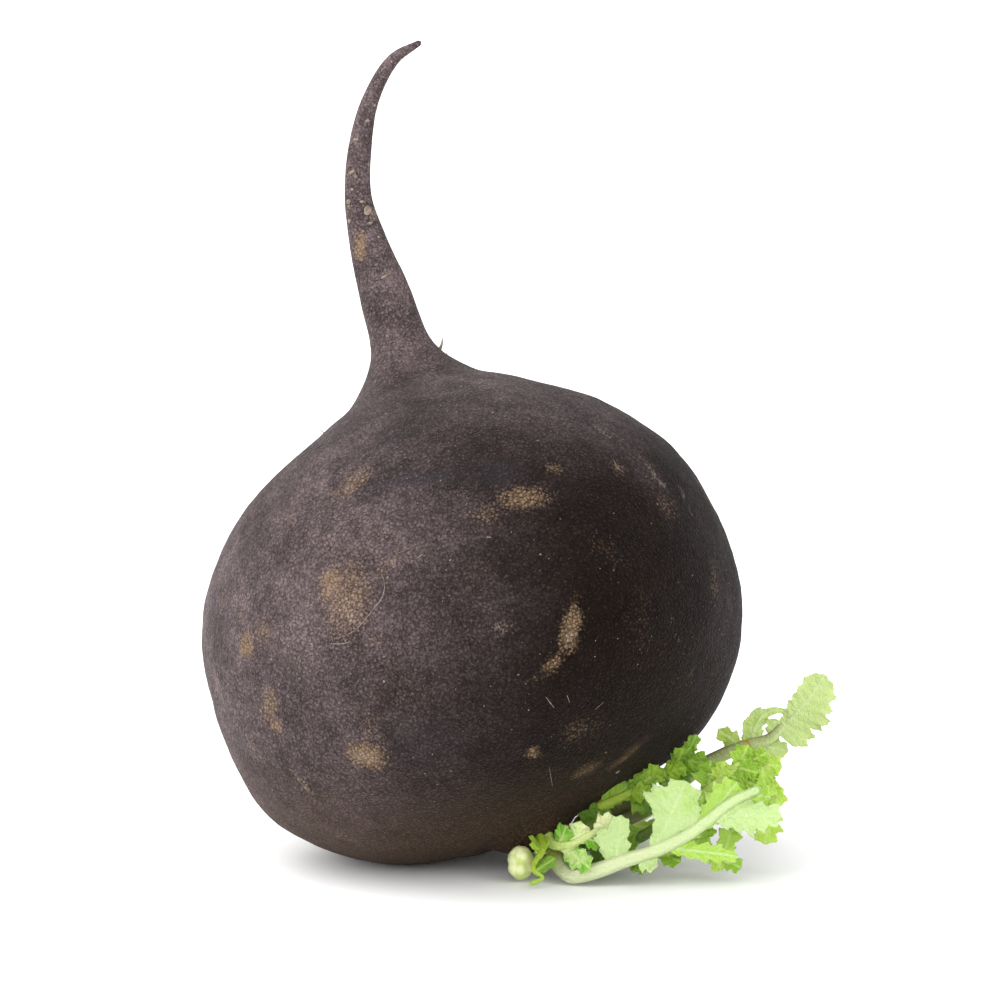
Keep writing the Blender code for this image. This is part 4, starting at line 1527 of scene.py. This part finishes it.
@dataclass
class Bud:
    """The knobbly bud of unopened leaves beside the stalks."""

    middle: Vector = field(default_factory=lambda: Vector((20.9, -26.0, 3.8)))
    radii: Vector = field(default_factory=lambda: Vector((2.45, 2.4, 3.1)))
    waist: float = 0.16
    waist_rise: float = -0.05
    waist_spread: float = 0.24
    rings: int = 96
    sides: int = 110
    knobs: int = 46
    knob_rise: float = 0.17
    knob_spread: float = 0.34
    seed: int = 7

    def build(self, look: BudFinish) -> bpy.types.Object:
        """Makes the bud with its knobs.

        Args:
            look: Its finish.

        Returns:
            The object.
        """
        chance = random.Random(self.seed)
        knobs = []
        for _ in range(self.knobs):
            way = Vector((chance.gauss(0, 1), chance.gauss(0, 1), chance.gauss(0.2, 1)))
            knobs.append((way.normalized(), chance.uniform(0.6, 1.3)))
        draft = Draft("fold")
        rings = []
        for i in range(1, self.rings):
            polar = math.pi * i / self.rings
            ring = []
            for k in range(self.sides):
                turn = 2 * math.pi * k / self.sides
                out = math.sin(polar)
                spoke = Vector((out * math.cos(turn), out * math.sin(turn), -math.cos(polar)))
                near = max(
                    size * math.exp(-((spoke.angle(way) / (self.knob_spread * size)) ** 2))
                    for way, size in knobs
                )
                rise = self.knob_rise * (near - 0.55)
                from_waist = (spoke.z - self.waist_rise) / self.waist_spread
                slim = 1 - self.waist * math.exp(-(from_waist**2))
                rise += 0.05 * noise.noise(spoke * 7.0)
                place = self.middle + spoke * self.radii * slim + spoke * rise
                place.z = max(place.z, 0.2)
                ring.append(draft.add(place, fold=1.0 - min(1.0, near * 1.1)))
            rings.append(ring)
        top = Vector((0.0, 0.0, self.radii.z))
        draft.tube(rings, self.middle - top, self.middle + top)
        return draft.finish("bud_fine", look.make())


@dataclass
class Studio:
    """The plain pale floor, the light round it and the soft lamps, each as an angle and a strength."""

    floor_reach: float = 6.0
    sky_left: float = 1.70
    sky_right: float = 0.55
    seen_sky: float = 1.0
    lamps: tuple = (
        ("key", 74.0, 44.0, 80.0, 2.3),
        ("fill", -25.0, 30.0, 60.0, 1.4),
    )

    def build(self) -> None:
        """Adds the floor, the world and the lamps."""
        mesh = bpy.data.meshes.new("floor")
        r = self.floor_reach
        mesh.from_pydata([(-r, -r, 0), (r, -r, 0), (r, r, 0), (-r, r, 0)], [], [(0, 1, 2, 3)])
        mesh.materials.append(FloorFinish().make())
        floor = bpy.data.objects.new("floor", mesh)
        bpy.context.scene.collection.objects.link(floor)
        floor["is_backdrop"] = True
        self.add_sky()
        for name, left, rise, spread, strength in self.lamps:
            self.add_lamp(name, math.radians(left), math.radians(rise), math.radians(spread), strength)

    def add_sky(self) -> None:
        """Makes the world: white where it is seen, and as a light brighter on the left."""
        world = bpy.data.worlds.new("studio")
        bpy.context.scene.world = world
        world.use_nodes = True
        tree = world.node_tree
        path = tree.nodes.new("ShaderNodeLightPath")
        place = tree.nodes.new("ShaderNodeTexCoord")
        parts = tree.nodes.new("ShaderNodeSeparateXYZ")
        tree.links.new(place.outputs["Generated"], parts.inputs[0])
        light = tree.nodes.new("ShaderNodeMapRange")
        light.inputs["From Min"].default_value = -1.0
        light.inputs["To Min"].default_value = self.sky_left
        light.inputs["To Max"].default_value = self.sky_right
        tree.links.new(parts.outputs["X"], light.inputs["Value"])
        strength = tree.nodes.new("ShaderNodeMapRange")
        strength.inputs["To Max"].default_value = self.seen_sky
        tree.links.new(light.outputs[0], strength.inputs["To Min"])
        tree.links.new(path.outputs["Is Camera Ray"], strength.inputs["Value"])
        background = tree.nodes["Background"]
        background.inputs["Color"].default_value = (1.0, 1.0, 1.0, 1.0)
        tree.links.new(strength.outputs[0], background.inputs["Strength"])

    def add_lamp(self, name: str, left: float, rise: float, spread: float, strength: float) -> None:
        """Adds a far soft lamp.

        Args:
            name: The lamp's name.
            left: How far to the viewer's left it stands, as an angle.
            rise: Its height over the floor, as an angle.
            spread: How wide it looks, as an angle.
            strength: Its strength in watts to the square metre.
        """
        data = bpy.data.lights.new(name, "SUN")
        data.angle = spread
        data.energy = strength
        lamp = bpy.data.objects.new(name, data)
        level = math.cos(rise)
        toward = Vector((-math.sin(left) * level, -math.cos(left) * level, math.sin(rise)))
        lamp.rotation_euler = (-toward).to_track_quat("-Z", "Y").to_euler()
        bpy.context.scene.collection.objects.link(lamp)


PALE = LeafFinish(
    (0.40, 0.50, 0.19), (0.29, 0.42, 0.05), (0.47, 0.55, 0.26), (0.38, 0.42, 0.17), (0.130, 0.120, 0.038)
)
MINT = LeafFinish(
    (0.41, 0.55, 0.22), (0.30, 0.49, 0.05), (0.47, 0.59, 0.28), (0.56, 0.61, 0.36), (0.175, 0.205, 0.012)
)
FRESH = LeafFinish((0.35, 0.52, 0.06), (0.19, 0.37, 0.01), (0.44, 0.58, 0.15), (0.38, 0.51, 0.10))
CURLED = LeafFinish((0.80, 0.86, 0.44), (0.15, 0.42, 0.01), (0.62, 0.74, 0.28), (0.38, 0.52, 0.11))
SHADED = LeafFinish((0.24, 0.40, 0.02), (0.09, 0.21, 0.01), (0.31, 0.45, 0.05), (0.29, 0.41, 0.03))

LEAVES = (
    Leaf(
        "leaf_front",
        ((26.4, -21.5, 8.0), (27.6, -24.8, 4.1), (30.0, -28.2, 2.1), (34.0, -30.0, 2.95),
         (39.8, -30.4, 5.1), (45.1, -30.5, 6.9), (50.9, -30.4, 9.6), (55.1, -30.0, 12.6),
         (59.3, -29.6, 15.8), (64.0, -29.0, 17.9)),
        1.8, 0.9, (0.0, -1.0, 0.1),
        (
            Lobe(0.415, Side.RIGHT, 64, 9.0, 2.8, 2, -8, 5, outline=(
                (0.0, 1.7, 1.5), (0.25, 2.6, 2.1), (0.5, 3.9, 2.3), (0.62, 4.0, 2.4), (0.75, 2.4, 1.9),
                (0.9, 1.4, 1.3), (1.0, 0.3, 0.3)), tint=-0.3),
            Lobe(0.556, Side.RIGHT, 44, 14.1, 4.6, 3, -10, 7, outline=(
                (0.0, 0.9, 0.9), (0.2, 1.4, 1.5), (0.42, 2.2, 3.7), (0.5, 2.9, 4.6), (0.6, 5.2, 5.3),
                (0.7, 5.2, 5.3), (0.78, 4.9, 4.2), (0.85, 2.9, 3.6), (0.93, 2.6, 2.7),
                (1.0, 0.5, 0.7)), tint=-0.8),
            Lobe(0.640, Side.RIGHT, 20, 9.4, 2.3, -8, -10, 4, tint=0.6),
            Lobe(0.755, Side.RIGHT, 13, 9.8, 2.8, -5, -16, 5, tint=0.1),
            Lobe(0.500, Side.LEFT, 44, 4.2, 1.6, 20, 10, 3),
            Lobe(0.590, Side.LEFT, 29, 14.0, 1.4, 12, 0, 6, tint=0.2),
            Lobe(0.800, Side.LEFT, 36, 12.8, 2.6, 12, 8, 6),
            Lobe(0.960, Side.LEFT, 30, 4.4, 1.8, 16, 20, 3),
        ),
        MINT,
        shaded_to=0.20,
    ),
    Leaf(
        "leaf_tall",
        ((30.8, -16.6, 9.4), (35.6, -14.2, 8.2), (43.6, -12.4, 10.9), (53.8, -12.0, 18.7),
         (57.9, -12.0, 21.0), (63.0, -12.0, 23.1), (66.4, -12.0, 24.0), (68.9, -12.2, 26.3)),
        1.8, 0.9, (0.0, -1.0, 0.15),
        (
            Lobe(0.665, Side.RIGHT, 118, 5.6, 1.5, 8, 24, 3),
            Lobe(0.735, Side.RIGHT, 74, 12.0, 1.9, 4, 8, 5, hook=-165, outline=(
                (0.0, 1.5, 1.3), (0.2, 2.1, 1.8), (0.42, 1.9, 1.6), (0.56, 1.1, 1.0), (0.72, 0.6, 0.6),
                (1.0, 0.4, 0.4))),
            Lobe(0.180, Side.RIGHT, 40, 5.6, 2.2, 6, 8, 3),
            Lobe(0.300, Side.LEFT, 46, 5.6, 2.2, 4, 8, 3),
            Lobe(0.640, Side.LEFT, 60, 4.4, 1.9, -22, -14, 3),
            Lobe(0.740, Side.LEFT, 30, 7.0, 1.7, -14, -12, 4),
            Lobe(0.900, Side.RIGHT, 44, 3.4, 1.4, 4, 12, 3),
            Lobe(0.960, Side.TIP, 0, 14.0, 4.2, 4, 6, 8, hook=20, outline=(
                (0.0, 0.8, 2.4), (0.15, 1.1, 4.9), (0.33, 1.8, 5.0), (0.48, 2.5, 5.3), (0.57, 2.7, 4.8),
                (0.69, 2.8, 4.7), (0.78, 2.7, 3.6), (0.87, 2.6, 2.9), (0.94, 1.4, 1.9), (1.0, 0.5, 0.6))),
        ),
        PALE,
        nick=0.702,
        shaded_to=0.42,
        shaded_top=0.75,
    ),
    Leaf(
        "leaf_arched",
        ((32.2, -21.0, 10.4), (35.6, -22.4, 7.0), (41.6, -22.0, 7.3), (49.6, -21.8, 12.1),
         (57.0, -21.5, 18.0), (61.6, -21.2, 21.4), (65.2, -21.0, 20.9), (66.9, -21.0, 16.8),
         (66.3, -21.0, 11.8)),
        1.4, 0.6, (0.1, -1.0, 0.1),
        (
            Lobe(0.340, Side.RIGHT, 60, 5.2, 2.0, -4, 10, 3),
            Lobe(0.470, Side.RIGHT, 48, 5.6, 2.3, 4, 16, 3),
            Lobe(0.540, Side.LEFT, 56, 6.6, 2.4, 8, 14, 3),
            Lobe(0.600, Side.RIGHT, 40, 4.4, 1.9, 2, 20, 3),
            Lobe(0.660, Side.LEFT, 62, 6.2, 2.3, 10, 10, 4),
            Lobe(0.740, Side.RIGHT, 30, 3.8, 1.7, 2, 12, 3),
            Lobe(0.780, Side.LEFT, 50, 6.4, 2.2, 6, 8, 4),
            Lobe(0.860, Side.RIGHT, 14, 4.4, 1.5, 2, 12, 3),
            Lobe(0.920, Side.LEFT, 40, 5.0, 1.8, 6, 8, 3),
            Lobe(0.960, Side.TIP, 0, 7.2, 2.3, 3, 10, 4),
            Lobe(0.500, Side.RIGHT, 34, 4.6, 1.7, 34, -24, 4, tint=-0.3),
            Lobe(0.590, Side.LEFT, 40, 4.4, 1.8, 38, -26, 4, tint=0.4),
            Lobe(0.660, Side.RIGHT, 30, 4.2, 1.6, 36, -24, 4, tint=-0.5),
            Lobe(0.740, Side.LEFT, 48, 4.4, 1.7, 40, -30, 4, tint=0.1),
            Lobe(0.820, Side.LEFT, 30, 4.0, 1.6, 36, -24, 3, tint=-0.4),
        ),
        FRESH,
        shaded_to=0.50,
        taper=0.6,
        bared=0.3,
    ),
    Leaf(
        "leaf_inner",
        ((34.8, -19.4, 12.7), (37.8, -19.2, 13.9), (42.1, -19.0, 16.0), (46.7, -18.8, 18.6),
         (49.7, -18.6, 20.9), (51.5, -18.4, 23.1)),
        1.3, 0.6, (0.2, -1.0, 0.3),
        (
            Lobe(0.360, Side.LEFT, 62, 5.4, 2.3, 6, 10, 3),
            Lobe(0.080, Side.RIGHT, 16, 6.4, 1.6, 0, 0, 5),
            Lobe(0.340, Side.RIGHT, 18, 6.0, 1.5, 0, 0, 4),
            Lobe(0.300, Side.RIGHT, 9, 9.0, 1.3, 12, 0, 5),
            Lobe(0.600, Side.LEFT, 54, 5.8, 2.4, 6, 12, 3),
            Lobe(0.640, Side.RIGHT, 11, 7.0, 1.2, 12, 0, 4),
            Lobe(0.820, Side.LEFT, 46, 5.4, 2.0, 6, 12, 3),
            Lobe(0.960, Side.TIP, 0, 4.0, 1.1, 0, 0, 3, hook=24),
            # Painted shade: this lobe takes the deepest tint to fill the dark gap under the root.
            Lobe(0.060, Side.LEFT, 132, 9.0, 3.1, -14, 0, 4, tint=1.0),
            Lobe(0.340, Side.LEFT, 24, 4.8, 1.5, 34, -20, 4, tint=-0.4),
            Lobe(0.480, Side.RIGHT, 30, 4.6, 1.6, 40, -26, 4, tint=-0.2),
            Lobe(0.640, Side.LEFT, 18, 4.6, 1.5, 36, -20, 4, tint=-0.5),
            Lobe(0.780, Side.RIGHT, 24, 3.8, 1.4, 34, -20, 3, tint=0.2),
        ),
        SHADED,
        lower_side_shade_tone=0.3,
        taper=0.35,
        bared=0.0,
    ),
    Leaf(
        "leaf_curled",
        ((25.6, -23.0, 8.8), (26.8, -25.6, 7.2), (29.4, -27.0, 7.2), (32.6, -27.2, 8.7),
         (35.4, -26.6, 10.2)),
        1.1, 0.6, (-0.1, -1.0, 0.35),
        (
            Lobe(0.350, Side.RIGHT, 66, 4.4, 1.8, 6, 40, 3),
            Lobe(0.440, Side.LEFT, 38, 8.0, 1.8, 12, 6, 4),
            Lobe(0.640, Side.RIGHT, 52, 4.0, 1.9, 4, 36, 3),
            Lobe(0.760, Side.LEFT, 50, 3.8, 1.6, 8, 24, 3),
            Lobe(0.950, Side.TIP, 0, 4.4, 1.8, 6, 36, 3),
        ),
        CURLED,
        lower_side_shade_tone=0.95,
        base_tone=0.0,
    ),
    Leaf(
        "leaf_low",
        ((29.2, -20.9, 9.2), (31.2, -23.6, 4.8), (35.2, -25.4, 2.9), (40.4, -26.0, 4.4),
         (46.2, -26.0, 5.7), (51.4, -26.0, 6.2), (56.0, -26.0, 5.4), (59.0, -26.0, 3.9)),
        1.3, 0.6, (0.0, -1.0, 0.3),
        (
            Lobe(0.280, Side.RIGHT, 76, 6.4, 2.1, 4, 0, 3),
            Lobe(0.400, Side.RIGHT, 70, 7.4, 2.4, -1, 0, 3),
            Lobe(0.440, Side.LEFT, 40, 4.2, 1.7, 12, 0, 3),
            Lobe(0.580, Side.LEFT, 36, 4.2, 1.6, 12, 0, 3),
            Lobe(0.600, Side.RIGHT, 56, 6.4, 2.2, -4, 10, 3),
            Lobe(0.740, Side.RIGHT, 66, 6.0, 2.2, -4, 10, 3),
            Lobe(0.930, Side.RIGHT, 96, 8.0, 1.7, 2, 6, 4),
            Lobe(0.860, Side.LEFT, 46, 3.4, 1.4, 10, 0, 3),
            Lobe(0.960, Side.TIP, 0, 3.4, 1.4, 6, 10, 3),
        ),
        FRESH,
        shaded_to=0.55,
    ),
    Leaf(
        "leaf_back",
        ((28.0, -16.2, 7.4), (29.6, -12.0, 5.2), (33.2, -4.0, 2.1), (38.0, 4.0, 2.6), (43.0, 11.0, 4.2),
         (47.0, 17.0, 5.4)),
        1.4, 0.7, (0.5, -0.4, 1.0),
        (
            Lobe(0.440, Side.RIGHT, 56, 6.5, 2.4, 2, 16, 3),
            Lobe(0.500, Side.LEFT, 54, 5.8, 2.3, 4, 12, 3),
            Lobe(0.680, Side.RIGHT, 50, 6.2, 2.4, 2, 16, 3),
            Lobe(0.720, Side.LEFT, 50, 6.2, 2.3, 4, 12, 3),
            Lobe(0.960, Side.TIP, 0, 6.4, 2.7, 4, 16, 4),
        ),
        FRESH,
    ),
    Leaf(
        "leaf_sliver",
        ((24.4, -24.4, 8.8), (24.9, -28.4, 6.6), (23.4, -30.4, 4.4), (23.4, -31.2, 3.4),
         (24.9, -31.5, 2.2), (22.8, -31.9, 1.1)),
        0.7, 0.4, (0.0, -1.0, 0.0),
        (
            Lobe(0.240, Side.LEFT, 150, 4.4, 1.5, -4, 10, 3),
            Lobe(0.620, Side.RIGHT, 80, 4.6, 1.2, 4, 10, 3),
        ),
        SHADED,
    ),
)


def report(piece: bpy.types.Object) -> None:
    """Writes a piece's size to the log."""
    LOG.info("%s: %d faces", piece.name, len(piece.data.polygons))


def settle(piece: bpy.types.Object, slot: str, *nodes: str) -> None:
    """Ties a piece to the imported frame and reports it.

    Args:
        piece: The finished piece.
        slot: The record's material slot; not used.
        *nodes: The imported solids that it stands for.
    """
    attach(piece, BODY)
    if nodes:
        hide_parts(*nodes)
    report(piece)


def main() -> None:
    """Builds every piece in order."""
    logging.basicConfig(level=logging.INFO)
    bpy.context.scene.view_settings.view_transform = "Standard"
    view = Viewpoint()
    view.add_camera()
    Studio().build()
    shape = Root()
    root = shape.build(SkinFinish().make())
    settle(root, "root_skin", "root")
    marks = SkinMarks()
    tree = marks.paint(root, view)
    cork = ScarFinish().make()
    settle(marks.raise_scars(tree, view, cork), "root_skin")
    dry = ScarFinish("dry_rootlet", (0.30, 0.21, 0.13), (0.09, 0.06, 0.04)).make()
    settle(Rootlets().build(shape, dry), "root_skin")
    for leaf in LEAVES:
        settle(leaf.build(), leaf.name, leaf.name)
    settle(Bud().build(BudFinish()), "leaf_bud", "leaf_bud")
    boxes = {"cad": CAD_BOX, "visual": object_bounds()}
    boxes = {name: [list(corner) for corner in box] for name, box in boxes.items()}


if __name__ == "__main__":
    main()
